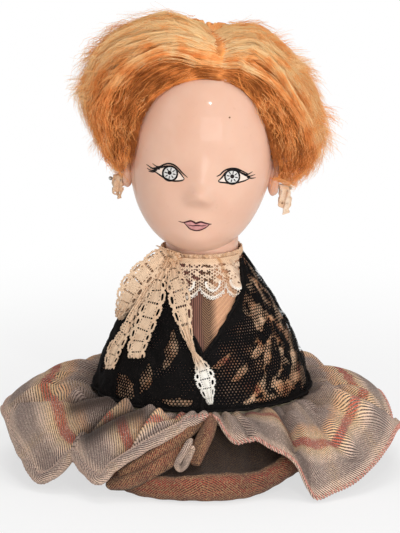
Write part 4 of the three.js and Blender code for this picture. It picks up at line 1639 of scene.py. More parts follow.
@dataclass
class Wig:
    """Mohair wig on a cloth cap, parted off centre and brushed out to both sides."""

    head: Head
    lobes: tuple[Lobe, ...] = (
        Lobe((-28, -2, 31), (38, 44, 38)), Lobe((-47, 0, 8), (24, 36, 33)),
        Lobe((31, -2, 28), (35, 44, 37)), Lobe((46, 0, 5), (21, 36, 32)),
        Lobe((0, 22, 10), (54, 38, 50)), Lobe((5, 0, 21), (38, 44, 40)),
    )
    blend_power: float = 16.0
    outline_turns: tuple[float, ...] = (
        -122, -114, -103, -92, -82, -74, -66, -60, -52, -44, -37, -18, 5, 27, 43, 55, 69, 82, 94, 109, 117,
    )
    outline_reach: tuple[float, ...] = (
        53, 56, 58.5, 61, 67, 73, 75, 76, 77.5, 78, 76, 73, 62, 70.5, 67.5, 66.5, 67.5, 68, 69, 66, 62,
    )
    cap_swell: float = 1.9
    hairline_turns: tuple[float, ...] = (
        -135, -125, -110, -97, -78, -62, -44, -24, 0, 12, 42, 64, 85, 104, 115, 135,
    )
    hairline_lean: tuple[float, ...] = (2, 4, 25, 29, 34, 36, 38, 40, 40, 39.5, 39, 38, 33, 24, 11, 2)
    back_lean: float = -58.0
    # Tones by layer are partly painted light and shade: low for the under and fringe layers beneath, high for
    # the top layer.
    layers: tuple[HairLayer, ...] = (
        HairLayer("under", 1300, 60, (0.0, 1.0), (70, 118), (0.5, 0.78), 0.22, 0.46, 0.1, 0.2, 40),
        HairLayer("fringe", 900, 70, (-0.01, 0.2), (46, 118), (0.3, 0.8), 0.14, 0.46, 0.08, 0.15, 80),
        HairLayer("over", 2600, 80, (0.09, 1.0), (56, 112), (0.8, 1.03), 1.1, 0.4, 0.22, 0.15),
    )
    curls: tuple[CurlLayer, ...] = (
        CurlLayer("curls", 1700, 200, (44, 116), (0.0, 0.95), (0.7, 0.95), (-0.06, 0.28), (0.6, 3.0),
                  (0.34, 0.66), 0.13),
        CurlLayer("tufts", 1000, 40, (30, 116), (0.28, 0.74), (0.8, 0.95), (0.05, 0.48), (1.6, 4.6),
                  (0.45, 0.85), 0.13),
    )
    back_strands: int = 2000
    stray_strands: int = 1300
    back_locks: int = 70
    back_radius: float = 0.18
    stray_radius: float = 0.09
    cap_flat: tuple[float, float] = (170.0, 150.0)
    steps: int = 9
    seed: int = 11

    def reach(self, directions: Array) -> Array:
        """How far the puffs of hair reach from the head's centre along directions.

        Args:
            directions: Directions of length one, in the doll's frame.

        Returns:
            A distance for each direction.
        """
        total = np.zeros(directions.shape[:-1])
        for lobe in self.lobes:
            half, middle = np.array(lobe.half, float), np.array(lobe.middle, float)
            a = np.sum((directions / half) ** 2, axis=-1)
            b = np.sum(directions * middle / half ** 2, axis=-1)
            left = b * b - a * (np.sum((middle / half) ** 2) - 1)
            exit_at = np.where(left > 0, (b + np.sqrt(np.maximum(left, 0))) / a, 0)
            total += np.maximum(exit_at, 0) ** self.blend_power
        return total ** (1 / self.blend_power)

    def outside(self, directions: Array) -> Array:
        """The puffs' reach, drawn in or out to the outline that the hair has from the front.

        Args:
            directions: Directions of length one, in the doll's frame.

        Returns:
            A distance for each direction.
        """
        turn = np.arctan2(directions[..., 0], directions[..., 2])
        level = joined(np.sin(turn), np.zeros(turn.shape), np.cos(turn))
        wanted = np.interp(np.degrees(turn), self.outline_turns, self.outline_reach)
        share = 1 - directions[..., 1] ** 2
        return self.reach(directions) * np.clip(wanted / self.reach(level), 0.75, 1.3) ** share

    def direction(self, lean: Array, turn: Array) -> Array:
        """Directions in the head's own frame, by degrees forwards of the ears and degrees from the top."""
        lean, turn = np.radians(lean), np.radians(turn)
        return joined(np.cos(lean) * np.sin(turn), -np.sin(lean), np.cos(lean) * np.cos(turn))

    def shell(self, directions: Array, share: Array) -> Array:
        """Points between the scalp and the outside of the hair.

        Args:
            directions: Directions in the head's own frame.
            share: 0 on the scalp, 1 on the outside.

        Returns:
            Points in the doll's frame.
        """
        scalp = self.head.to_doll(self.head.surface(directions, self.cap_swell)) - np.array(self.head.centre)
        near = np.linalg.norm(scalp, axis=-1)
        outward = scalp / near[..., None]
        far = np.maximum(self.outside(outward), near + 1.0)
        return outward * (near + (far - near) * share)[..., None] + np.array(self.head.centre)

    def sunk(self, points: Array, share: Array) -> Array:
        """Draws points in towards the head's centre, by up to the gap between the cap and the skin."""
        centre = np.array(self.head.centre)
        return centre + (points - centre) * (1 - 0.03 * share)[..., None]

    def hairline(self, turn: Array) -> Array:
        """How far forward the hair starts, by its turn from the top."""
        return np.interp(turn, self.hairline_turns, self.hairline_lean)

    def parting(self, lean: Array) -> Array:
        """The turn of the parting, by its lean."""
        return 1.5 + 11.0 * np.clip(lean / 40, 0, 1)

    def side_paths(self, side: int, layer: HairLayer,
                   draw: np.random.Generator) -> tuple[Array, Array]:
        """Strands of one layer that sweep from the parting round one side, in wavy locks.

        Args:
            side: -1 for the viewer's left, 1 for the right.
            layer: The layer.
            draw: Where the random numbers come from.

        Returns:
            The paths, by strand and step, and the strands' tones by step.
        """
        count, locks = layer.strands, layer.locks
        lock = draw.integers(0, locks, count)
        off = np.clip(draw.normal(0, 1, count), -2.2, 2.2)
        depth = layer.back[1] - layer.back[0]
        middles = layer.back[0] + depth * (np.arange(locks) + draw.uniform(0, 1, locks)) / locks
        settled = (middles[lock] + off * 0.7 * depth / locks)[:, None]
        end = draw.uniform(*layer.end, locks)[lock] + draw.normal(0, 6, count) - 10 * settled[:, 0]
        height = draw.uniform(*layer.level, locks)[lock] - 0.05 * off ** 2 + draw.normal(0, 0.03, count)
        phase = draw.uniform(0, 2 * math.pi, (locks, 3))[lock]
        share = np.linspace(0, 1, self.steps)[None, :]
        loose = draw.uniform(-2.5, 2.5, (count, 1)) * depth / locks
        back = settled + loose * smooth(0.35, 0, share)
        root = self.parting(self.hairline(0) * (1 - settled) + self.back_lean * settled)
        start = root + draw.normal(0, 1.0, (count, 1)) + side * layer.spread * draw.uniform(0, 1, (count, 1))
        reach = np.maximum(end[:, None], np.abs(start) + 18)
        turn = start + (side * reach - start) * share
        sway = 2.4 * np.sin(5 * share + phase[:, :1]) + 1.2 * np.sin(11 * share + phase[:, 1:2])
        lean = self.hairline(turn) * (1 - back) + self.back_lean * back
        lean += sway * smooth(0, 0.25, share) + 1.3 * off[:, None] * share
        lean = np.minimum(lean, self.hairline(turn) + 0.4)
        edge = 0.2 + 0.8 * smooth(0.0, 0.14, back)
        rise = smooth(0, 0.4, share)
        level = ((0.2 + 0.4 * smooth(0, 0.12, share)) * (1 - rise) + height[:, None] * rise) * edge
        level += 0.04 * np.sin(8 * share + phase[:, 2:])
        level += layer.flare * smooth(0.7, 1, share) * draw.uniform(-0.4, 1, (count, 1))
        paths = self.shell(self.direction(lean, turn), level)
        paths = self.sunk(paths, smooth(5, 0, self.hairline(turn) - lean))
        paths += np.cumsum(draw.normal(0, layer.frizz, paths.shape) * (0.3 + share ** 2)[..., None], axis=1)
        tone = layer.tone + draw.normal(0, 0.15, locks)[lock][:, None] + draw.normal(0, 0.12, (count, 1))
        tone = tone - 0.05 * off[:, None] ** 2 + 0.16 * bell(share - 0.3, 0.3) - 0.14 * smooth(0.55, 1, share)
        # Painted shade: darker near the hairline, under the overhang of the top layer.
        tone -= 0.45 * layer.tone * smooth(0.3, 0.08, back)
        return paths, tone

    def curl_paths(self, side: int, layer: CurlLayer,
                   draw: np.random.Generator) -> tuple[Array, Array]:
        """Short curly ends that stand off one side in clumps.

        Args:
            side: -1 for the viewer's left, 1 for the right.
            layer: The layer.
            draw: Where the random numbers come from.

        Returns:
            The paths, by strand and step, and the strands' tones by step.
        """
        count, clumps = layer.strands, layer.clumps
        clump = draw.integers(0, clumps, count)

        def each(between: tuple[float, float], loose: float) -> Array:
            """A number for each curl: its clump's own, and a little of its own."""
            return draw.uniform(*between, clumps)[clump][:, None] + draw.normal(0, loose, (count, 1))

        turn, back = side * each(layer.turn, 2.5), each(layer.back, 0.03)
        share = np.linspace(0, 1, self.steps)[None, :]
        turns = np.clip(turn + side * each((4, 18), 2.0) * share, -121, 121)
        lean = self.hairline(turns) * (1 - back) - 50 * back
        level = each(layer.level, 0.04) + each(layer.rise, 0.06) * share ** 1.5
        level = level * (0.35 + 0.65 * smooth(0, 0.12, back))
        paths = self.shell(self.direction(lean, turns), level)
        out = unit(paths - np.array(self.head.centre))
        ahead = unit(np.array([0.0, -1.0, 0.0]) + out * out[..., 1:2])
        spin = each((0, 2 * math.pi), 0.3) + each((3, 8), 0.6) * share
        size = each(layer.size, 0.8) * share
        paths += out * (size * np.cos(spin))[..., None] + ahead * (size * np.sin(spin))[..., None]
        paths += np.cumsum(draw.normal(0, 0.3, paths.shape), axis=1)
        tone = each(layer.tone, 0.08) - 0.14 * smooth(92, 118, np.abs(turns)) + 0.08 * share
        return paths, tone

    def back_paths(self, draw: np.random.Generator) -> tuple[Array, Array]:
        """Strands that fall from the crown down the back.

        Args:
            draw: Where the random numbers come from.

        Returns:
            The paths, by strand and step, and the strands' tones by step.
        """
        count, locks = self.back_strands, self.back_locks
        lock = draw.integers(0, locks, count)
        off = np.clip(draw.normal(0, 1, (count, 1)), -2.2, 2.2)
        heading = draw.uniform(-80, 80, locks)[lock][:, None] + 1.8 * off
        depth = draw.uniform(0.74, 1.0, locks)[lock][:, None] - 0.05 * off ** 2
        wave = draw.uniform(0, 2 * math.pi, locks)[lock][:, None]
        end = draw.uniform(102, 128, locks)[lock][:, None] + draw.normal(0, 4, (count, 1))
        end -= 22 * smooth(52, 74, np.abs(heading))
        share = np.linspace(0, 1, self.steps)[None, :]
        fall = np.radians(8 + (end - 8) * share)
        course = np.radians(heading + 4 * np.sin(share * 6 + wave) * smooth(0, 0.3, share))
        parts = np.sin(fall) * np.sin(course), np.sin(fall) * np.cos(course), np.cos(fall)
        level = depth * (0.12 + 0.88 * smooth(0, 0.17, share)) + 0.04 * np.sin(share * 8 + wave)
        level += 0.1 * smooth(0.75, 1, share) * draw.uniform(-0.4, 1, (count, 1))
        paths = self.shell(joined(*parts), level)
        paths += np.cumsum(draw.normal(0, 0.26, paths.shape) * (0.3 + share ** 2)[..., None], axis=1)
        tone = 0.62 + draw.normal(0, 0.1, locks)[lock][:, None] + draw.normal(0, 0.09, (count, 1))
        return paths, tone - 0.05 * off ** 2 - 0.18 * smooth(0.5, 1, share)

    def stray_paths(self, draw: np.random.Generator) -> tuple[Array, Array]:
        """Loose hairs that curl off the outside.

        Args:
            draw: Where the random numbers come from.

        Returns:
            The paths, by strand and step, and the strands' tones by step.
        """
        count = self.stray_strands
        side = np.where(draw.uniform(0, 1, (count, 1)) < 0.5, -1, 1)
        turn = side * draw.uniform(8, 120, (count, 1))
        lean = draw.uniform(-50, 1, (count, 1)) + draw.uniform(0, 0.8, (count, 1)) * self.hairline(turn)
        share = np.linspace(0, 1, self.steps)[None, :]
        sweep = side * draw.uniform(8, 32, (count, 1)) * share
        beat, start = draw.uniform(3, 9, (count, 1)), draw.uniform(0, 6, (count, 1))
        curl = draw.uniform(3, 10, (count, 1)) * share * np.sin(share * beat + start)
        level = 0.94 + draw.uniform(0.02, 0.42, (count, 1)) * share ** 1.4
        paths = self.shell(self.direction(lean + curl, np.clip(turn + sweep, -126, 126)), level)
        wobble = np.cumsum(draw.normal(0, 0.4, paths.shape), axis=1)
        tone = np.broadcast_to(0.62 + draw.normal(0, 0.14, (count, 1)), paths.shape[:2])
        return paths + wobble, tone

    def strands(self, name: str, paths: Array, tone: Array, radius: float,
                material: Material) -> None:
        """Makes a piece out of strands.

        Args:
            name: The piece's name.
            paths: Points by strand and step.
            tone: Tones by strand and step.
            radius: A strand's radius at its thickest.
            material: The mohair.
        """
        share = np.linspace(0, 1, self.steps)[None, :]
        radii = np.broadcast_to(radius * (1 - 0.75 * share ** 2.5), paths.shape[:2])
        points, faces = tubes(paths, radii, paths - np.array(self.head.centre), 3, 0.5)
        piece = build(name, points, faces, tone=np.repeat(np.clip(tone, 0, 1).ravel(), 3))
        piece.data.shade_flat()
        dress(piece, "head", material)

    def padding(self, material: Material) -> None:
        """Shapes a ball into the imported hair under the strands, thinning out to the hairline.

        Args:
            material: The mohair.
        """
        piece = ball("hair_padding", 168, 112)
        ways = unit(vertices_of(piece))
        lean = np.degrees(np.arcsin(np.clip(-ways[:, 1], -1, 1)))
        turn = np.degrees(np.arctan2(ways[:, 0], ways[:, 2]))
        lowest = 106 + 8 * smooth(-10, -50, lean)
        above = lowest - np.degrees(np.arccos(np.clip(ways[:, 2], -1, 1)))
        cover = np.minimum(smooth(0, 18, self.hairline(turn) - lean), smooth(0, 16, above))
        away = np.abs(turn - self.parting(lean))
        level = (0.44 + 0.2 * smooth(2, 22, away) + 0.05 * ripple(ways * 40, 6, 5)) * cover
        move_vertices(piece, self.sunk(self.shell(ways, level), 1 - cover))
        activate(piece)
        bpy.ops.object.mode_set(mode="EDIT")
        bpy.ops.mesh.select_all(action="DESELECT")
        bpy.ops.object.mode_set(mode="OBJECT")
        piece.data.vertices.foreach_set("select", cover <= 0)
        bpy.ops.object.mode_set(mode="EDIT")
        bpy.ops.mesh.delete(type="VERT")
        bpy.ops.object.mode_set(mode="OBJECT")
        thicken(piece, 0.8, -1)
        points = vertices_of(piece)
        # Painted shade: a dark tone for the padding under the strands.
        store(piece, "tone", np.clip(0.22 + 0.1 * ripple(points * np.array([0.3, 1.0, 0.6]), 3.0, 9), 0, 1))
        dress(piece, "head", material, ("mohair_left", "mohair_right", "mohair_back"))

    def cap(self, material: Material) -> None:
        """Makes the cloth cap that the hair is sewn to, just off the scalp and behind the hairline.

        Args:
            material: The cap's cotton.
        """
        columns, rows = 96, 40
        turn = np.linspace(0, 360, columns, endpoint=False)[:, None]
        fall = np.linspace(0, 1, rows)[None, :]
        lowest = 32 + 58 * smooth(40, 110, np.abs((turn + 180) % 360 - 180))
        polar = np.radians(1 + (lowest - 1) * fall)
        course = np.radians(turn)
        parts = np.sin(polar) * np.sin(course), -np.sin(polar) * np.cos(course), np.cos(polar)
        directions = joined(*parts)
        points = self.head.to_doll(self.head.surface(directions, self.cap_swell))
        piece = grid_piece("wig_cap_cloth", points, closed=True, flipped=True)
        thicken(piece, 0.9, -1)
        dress(piece, "head", material, ("wig_cap",))
        declare(piece, *self.cap_flat, "stretched", ["head"])

    def build(self, finish: Mohair, cap_finish: PlainStuff) -> None:
        """Builds the wig and dresses it.

        Args:
            finish: The mohair.
            cap_finish: The cap's cotton.
        """
        material = finish.make()
        self.cap(cap_finish.make())
        self.padding(material)
        draw = np.random.default_rng(self.seed)
        for side, name in ((-1, "left"), (1, "right")):
            for layer in self.layers:
                paths, tone = self.side_paths(side, layer, draw)
                self.strands(f"hair_{name}_{layer.name}", paths, tone, layer.radius, material)
            for layer in self.curls:
                paths, tone = self.curl_paths(side, layer, draw)
                self.strands(f"hair_{name}_{layer.name}", paths, tone, layer.radius, material)
        self.strands("hair_back_strands", *self.back_paths(draw), self.back_radius, material)
        self.strands("hair_stray", *self.stray_paths(draw), self.stray_radius, material)


def right_gape(height: Array) -> Array:
    """How many degrees further the shawl opens on the viewer's right."""
    above_point = smooth(OPENING_POINT - 2, OPENING_POINT + 10, height)
    return 4.6 * above_point * smooth(NECKLINE_HEIGHT + 6, 100, height)


def lace_edges(along: Array, off: Array, half: float, worked: float = 1.0) -> Array:
    """The field of a lace ribbon: above zero where there is thread.

    Filled blocks run along the middle with a row of dots between them, and each block has a squared tab
    with a long hole on both sides.

    Args:
        along: Places along the ribbon.
        off: Places across it, from the middle.
        half: Half its flat width.
        worked: The size of the holes, where 1 is that of a full ribbon.

    Returns:
        The field.
    """
    side = np.abs(off)
    beat = np.abs((along / LACE_REPEAT) % 1 - 0.5)
    nicks = 0.45 * np.abs(np.sin(3 * math.pi * along / LACE_REPEAT))
    edge = half - 1.6 + smooth(0.45, 0.36, beat) * (1.6 - nicks)

    def holes(count: int, row: float, long: float, tall: float, shift: float = 0.0) -> Array:
        """Distance outside a row of rounded holes on both sides.

        Args:
            count: How many there are to a repeat.
            row: How far the row is from the middle.
            long: Half a hole's length.
            tall: Half its height.
            shift: The row's shift, in holes.

        Returns:
            The distance at each place.
        """
        pitch = LACE_REPEAT / count
        step = np.abs((along / pitch + shift) % 1 - 0.5) * pitch / (long * worked)
        rise = np.abs(side - row) / (tall * worked)
        return ((step ** 3 + rise ** 3) ** (1 / 3) - 1) * min(long, tall) * worked

    rows = [
        holes(1, half - 2.4, 1.75, 0.85), holes(1, 0.0, 0.6, 0.55, 0.5), holes(1, 1.45, 0.6, 0.55, 0.5),
        holes(1, 2.9, 0.6, 0.55, 0.5), holes(4, half - 4.3, 0.4, 0.4, 0.5), holes(2, half - 0.6, 0.3, 0.25),
    ]
    return np.minimum(edge - side, np.minimum.reduce(rows))


def clear_of_chin(points: Array, gap: float = 0.9, neck: float = 21.2) -> Array:
    """Moves points out from the neck's axis until the face passes them as the head turns.

    Args:
        points: Points in the doll's frame.
        gap: How far the face stays off.
        neck: The least reach that is kept free, for the neck.

    Returns:
        The moved points.
    """
    head = vertices_of(bpy.data.objects["head"])
    levels = np.arange(NECKLINE_HEIGHT, NECKLINE_HEIGHT + 30)
    away = np.hypot(head[:, 0], head[:, 1])
    swept = [away[np.abs(head[:, 2] - level) < 1].max(initial=neck) for level in levels]
    radius = np.hypot(points[:, 0], points[:, 1])
    wanted = np.maximum(np.interp(points[:, 2], levels, swept) + gap, radius)
    spread = np.where(points[:, 2] > levels[0], wanted / radius, 1)
    return points * joined(spread, spread, np.ones(len(points)))


@dataclass
class LaceRibbon:
    """A length of cream lace that hangs from the knot. Each stop is its angle, drop and width, how far it
    stands off the dome, and how much it faces forwards rather than off the dome."""

    name: str
    node: str
    stops: tuple[tuple[float, float, float, float, float], ...]
    flat_width: float
    folded: bool = False
    fade_from: float = 2.0
    step: float = 0.33
    spans: int = 399
    forwards: tuple[float, float, float] = (-0.1, -0.96, 0.25)

    def run(self, share: Array) -> tuple[Array, Array, Array]:
        """The ribbon's middle line.

        Args:
            share: Places from 0, at the knot, to 1, at the end.

        Returns:
            Points, directions across with half the width as their length, and the outward directions.
        """
        angle, drop, width, lift, face = through(np.array(self.stops, float), share).T
        height = NECKLINE_HEIGHT - drop
        middle = around(angle, dome_radius(height) + lift, height)
        turn = np.radians(angle)
        steep = np.clip((dome_radius(height + 0.5) - dome_radius(height - 0.5)), -2, 2)
        off_dome = unit(joined(np.sin(turn), -np.cos(turn), -steep))
        out = unit(off_dome * (1 - face)[:, None] + np.array(self.forwards) * face[:, None])
        ahead = unit(np.gradient(middle, axis=0))
        across = unit(np.cross(ahead, out)) * width[:, None] / 2
        return middle, across, unit(np.cross(across, ahead))

    def build(self, material: Material, rests_on: Sequence[str]) -> None:
        """Cuts the lace, hangs it and dresses it.

        Args:
            material: The lace.
            rests_on: What it lies on.
        """
        middle, across, out = self.run(np.linspace(0, 1, self.spans + 1))
        length = float(walked(middle)[-1])
        half = self.flat_width / 2
        total = 2 * length + 4 if self.folded else length
        along, off, grid_along, grid_off = flat_grid(total, self.flat_width, self.step)
        scallop = 1.0 - np.abs(np.sin(2 * math.pi * grid_off / LACE_REPEAT))
        ends = np.minimum(grid_along, total - scallop - grid_along)
        flat, faces = cut_out(np.minimum(lace_edges(grid_along, grid_off, half), ends), along, off)
        placed = flat[:, 0]
        turned = np.zeros(len(flat))
        if self.folded:
            turned = smooth(length - 3, length + 7, placed)
            placed = np.where(placed > length + 2, total - placed, np.minimum(placed, length))
        share = np.clip(placed / length, 0, 1)
        low = np.minimum((share * self.spans).astype(int), self.spans - 1)
        part = (share * self.spans - low)[:, None]

        def between(values: Array) -> Array:
            """Reads the middle line's values at each point."""
            return values[low] * (1 - part) + values[low + 1] * part

        side = flat[:, 1] / half
        width = np.linalg.norm(between(across), axis=1) * 2
        slack = np.clip(1 - width / self.flat_width, 0, 1)
        fold = 0.5 + 0.5 * np.cos(side * 3.5 * math.pi + 0.8 * np.sin(placed / 6))
        puff = 0.4 + 0.4 * ripple(flat, 11.0, len(self.name))
        lift = 0.4 + slack * 2.6 * fold + puff + 2.6 * np.exp(-placed / 7) * (1 - turned)
        shift = side
        if self.folded:
            lift = lift - 4.2 * turned * smooth(0, 0.2, 1 - share)
            shift = side - 0.16 * turned
        points = between(middle) + between(across) * shift[:, None] + between(out) * lift[:, None]
        points = clear_of_chin(points)
        # Whiter towards the end, from fade_from on; painted shade near the knot, where it is gathered.
        whiteness_and_shade = smooth(self.fade_from, self.fade_from + 0.18, share) - 0.75 * np.exp(-placed / 9)
        piece = build(self.name, points, faces, cloth=flat, whiteness_and_shade=whiteness_and_shade)
        thicken(piece, LACE_THICKNESS)
        dress(piece, "body", material, (self.node,))
        declare(piece, self.flat_width, total, "gathered", rests_on)


@dataclass
class Collar:
    """Scalloped cream lace in the neck opening, with a thick arc, sheer net and picots at each scallop."""

    stand: float = 3.0
    straight: float = 10.6
    scallop_deep: float = 6.6
    scallop_wide: float = 15.2
    scallop_middle: float = 6.4
    arc_radius: float = 4.3
    picot: float = 1.55
    net: float = 1.7
    fine_net: float = 1.45
    fold_out: float = 2.6
    fold_half: float = 2.4
    half: float = 29.0
    step: float = 0.23

    def edge(self, across: Array) -> tuple[Array, Array]:
        """The scalloped edge.

        Args:
            across: Places across, from the middle.

        Returns:
            How far the edge drops at each place, and each place's distance from its scallop's middle.
        """
        half = self.scallop_wide / 2
        over = (across - self.scallop_middle + half) % self.scallop_wide - half
        bow = np.sqrt(np.maximum(1 - (2 * over / self.scallop_wide) ** 2, 0))
        return self.straight + self.scallop_deep * bow, over

    def from_fold(self, across: Array, drop: Array) -> Array:
        """How far each place lies outside the fold at the collar's right end."""
        return across - 16.0 - 0.5 * drop

    def fabric(self, across: Array, drop: Array) -> Array:
        """The lace's field: above zero where there is thread.

        Args:
            across: Places across, from the middle.
            drop: Places down from the neckline.

        Returns:
            The field.
        """
        edge, over = self.edge(across)
        nearest = np.round(across / self.picot) * self.picot
        ring = np.hypot(across - nearest, drop - self.edge(nearest)[0] - 0.4)
        arc = np.hypot(over, (drop - self.straight + 1.2))

        def net(pitch: float) -> Array:
            """A six-sided net's field, which peaks in its holes.

            Args:
                pitch: The distance between holes.

            Returns:
                The field at each place.
            """
            wave = 4 * math.pi / (math.sqrt(3) * pitch)
            turns = (0, 2.0944, 4.18879)
            return sum(np.cos(wave * (across * math.cos(t) + drop * math.sin(t))) for t in turns)

        flower = 2.2 * ripple(joined(across, drop), 3.4, 3)
        folded = 2.4 * bell(self.from_fold(across, drop), 1.2 * self.fold_half)
        coarse = (-0.1 + flower + folded - net(self.net)) * 0.3
        fine = (-0.75 - net(self.fine_net)) * 0.15
        threads = np.where((arc > self.arc_radius) & (drop > self.straight - 1.6), fine, coarse)
        lower = np.where(drop > self.straight - 1.6, 0.5 - np.abs(arc - self.arc_radius), -1)
        solid = np.maximum.reduce([
            threads, lower, 0.45 - np.abs(drop - edge + 0.3), 0.4 - drop, 0.3 - np.abs(drop - 2.4),
        ])
        cloth = np.maximum(np.minimum(solid, edge - drop), 0.75 - ring)
        return np.minimum(cloth, ring - 0.36)

    def build(self, material: Material) -> None:
        """Cuts the collar, lays it in the opening and dresses it.

        Args:
            material: The lace.
        """
        deepest = self.straight + self.scallop_deep + 2.0
        across = np.arange(-self.half, self.half, self.step)
        drop = np.arange(-self.stand - self.step, deepest, self.step)
        wide, down = np.meshgrid(across, drop, indexing="ij")
        height = NECKLINE_HEIGHT - np.maximum(down, 0)
        limit = dome_radius(height) * np.radians(opening_angle(height)) - 0.3
        limit = limit + (wide > 0) * right_gape(height) * np.radians(dome_radius(height))
        bounds = np.minimum(limit - np.abs(wide), down + self.stand)
        flat, faces = cut_out(np.minimum(self.fabric(wide, down), bounds), across, drop)
        height = NECKLINE_HEIGHT - flat[:, 1]
        radius = dome_radius(np.minimum(height, NECKLINE_HEIGHT))
        puff = 0.5 + 0.5 * np.sin(flat[:, 0] * 0.9 + 0.15 * flat[:, 1]) * smooth(1, 8, flat[:, 1])
        off_fold = self.from_fold(flat[:, 0], flat[:, 1])
        groove = bell(off_fold + 2 * self.fold_half, 0.5 * self.fold_half)
        puff += self.fold_out * bell(off_fold, self.fold_half) * smooth(-3, 1, flat[:, 1]) - 0.6 * groove
        points = around(np.degrees(flat[:, 0] / radius), radius - 0.4 + puff, height)
        over = self.edge(flat[:, 0])[1]
        arc = np.hypot(over, flat[:, 1] - self.straight + 1.2)
        white = bell(arc - self.arc_radius, 0.8) * (flat[:, 1] > self.straight - 1.6)
        rim = smooth(1.6, 0.2, self.edge(flat[:, 0])[0] - flat[:, 1])
        # Whiter on the arc and the rim; painted shade at the top by the neckline and in the groove beside the
        # fold.
        whiteness_and_shade = np.maximum(0.9 * white, 0.7 * rim) + 0.15 - 0.45 * smooth(2, -2, flat[:, 1]) - 0.8 * groove
        piece = build("collar_lace", points, faces, cloth=flat, whiteness_and_shade=whiteness_and_shade)
        thicken(piece, 0.35)
        dress(piece, "body", material, ("lace_collar",))
        declare(piece, 2 * self.half, deepest, "laid", ["pleated_dickey"])


@dataclass
class NeckBand:
    """The lace ribbon round the neck, and the knot that it is tied in."""

    radius: float = 22.3
    low: float = 124.3
    wide: float = 5.0
    knot_angle: float = -39.0
    knot_away: float = 26.2
    knot_half: tuple[float, float, float] = (5.2, 3.2, 4.2)
    step: float = 0.35

    def knot(self, material: Material) -> Piece:
        """Shapes a ball into a creased knot.

        Args:
            material: The lace.

        Returns:
            The knot.
        """
        piece = ball("lace_knot", 72, 48)
        spots = vertices_of(piece)
        turn = np.arctan2(spots[:, 2], spots[:, 0])
        crease = 0.1 * np.sin(13 * turn + 3 * spots[:, 1]) + 0.08 * ripple(spots, 0.6, 4)
        shaped = spots * (1 + crease)[:, None] * np.array(self.knot_half)
        sine, cosine = sine_cosine(self.knot_angle)
        x = shaped[:, 0] * cosine - shaped[:, 1] * sine
        y = shaped[:, 0] * sine + shaped[:, 1] * cosine
        middle = around(np.array(self.knot_angle), np.array(self.knot_away), np.array(self.low + 3.4))
        move_vertices(piece, clear_of_chin(joined(x, y, shaped[:, 2]) + middle))
        store(piece, "cloth", joined(turn * 5, spots[:, 1] * 6))
        # Painted shade in the knot's gathers.
        store(piece, "whiteness_and_shade", -0.55 - 0.3 * ripple(spots, 0.5, 7))
        return dress(piece, "body", material, ("ribbon_knot",))

    def build(self, material: Material) -> None:
        """Cuts the band, lays it round the neck, ties it and dresses it.

        Args:
            material: The lace.
        """
        around_neck = 2 * math.pi * self.radius
        along, off, far, side = flat_grid(around_neck, self.wide, self.step)
        fabric = self.wide / 2 - 0.4 * np.abs(np.sin(far * 1.9)) - np.abs(side)
        flat, faces = cut_out(np.minimum.reduce([fabric, far, around_neck - far]), along, off)
        angle = self.knot_angle + np.degrees(flat[:, 0] / self.radius)
        crumple = 0.7 + 0.4 * np.sin(flat[:, 0] * 2.3 + 0.7 * flat[:, 1]) + 0.5 * ripple(flat, 4.0, 8)
        points = around(angle, self.radius + crumple, self.low + self.wide / 2 + flat[:, 1])
        # Painted shade over the band, under the chin.
        piece = build("neck_band", points, faces, cloth=flat, whiteness_and_shade=-0.4 + 0.25 * ripple(flat, 4.0, 2))
        thicken(piece, LACE_THICKNESS)
        dress(piece, "body", material, ("neck_ribbon",))
        declare(piece, LACE_WIDTH, around_neck, "stretched", ["head"], with_pieces=[self.knot(material)])


@dataclass
class EarLace:
    """A scrap of lace folded over the pin in an ear, free to swing on it."""

    name: str
    node: str
    body: str
    whiteness_and_shade: float
    shift: float
    cut: float
    shorten: float = 0.12
    wide: float = 8.4
    fold: float = 1.5
    step: float = 0.3

    def build(self, material: Material) -> None:
        """Cuts the scrap, folds it over its pin and dresses it.

        Args:
            material: The lace.
        """
        low, high = box_of(self.node)
        middle = (low[0] + high[0]) / 2
        pin = high[2] - self.fold
        length = pin - low[2]
        total = 2 * length
        along, off, far, side = flat_grid(total, self.wide, self.step)
        ragged = 0.9 * ripple(joined(far, side), 5.0, 15 + len(self.name))
        notch = 2.6 * np.abs(np.cos(0.5 * math.pi * side)) - 0.6 * side
        down = np.abs(far - length)
        narrow = self.wide / 2 * (0.72 + 0.28 * smooth(1, 6, down))
        hung = down / (length - self.cut) - self.shorten * (far < length)
        sides = narrow * (1 - 0.75 * smooth(0.45, 0.95, hung)) + ragged - np.abs(side)
        ends = np.minimum.reduce([far - self.cut, total - notch - self.cut - far, sides])
        flat, faces = cut_out(np.minimum(lace_edges(far, side, self.wide / 2, 0.4), ends), along, off)
        place = flat[:, 0] - length
        down = np.maximum(np.abs(place) - 1.5, 0)
        turn = np.clip(place / 1.5, -1, 1) * math.pi / 2
        gather = 0.94 - 0.16 * bell(down - 0.7 * length, 0.25 * length)
        wave = 1.1 * np.sin(flat[:, 1] * 1.5 + 0.3 * down) + 0.8 * ripple(flat, 5.0, len(self.name))
        y = self.fold * np.sin(turn) + wave * smooth(0, 4, down) + np.sign(place) * 0.09 * down
        z = pin + self.fold * np.cos(turn) - down
        points = joined(middle + self.shift + flat[:, 1] * gather + 0.05 * wave * down, y, z)
        piece = build(self.name, points, faces, cloth=flat, whiteness_and_shade=self.whiteness_and_shade + 0.25 * ripple(flat, 6.0, 3))
        thicken(piece, LACE_THICKNESS)
        dress(piece, self.body, material, (self.node,))
        declare(piece, LACE_WIDTH, total, "hung", [self.node.replace("earring", "earring_pin")])


@dataclass(frozen=True)
class LaceLeaf:
    """A leaf in the shawl's lace, of open net or solid: its middle, half sizes and lean from upright."""

    angle: float
    height: float
    long: float
    wide: float
    lean: float


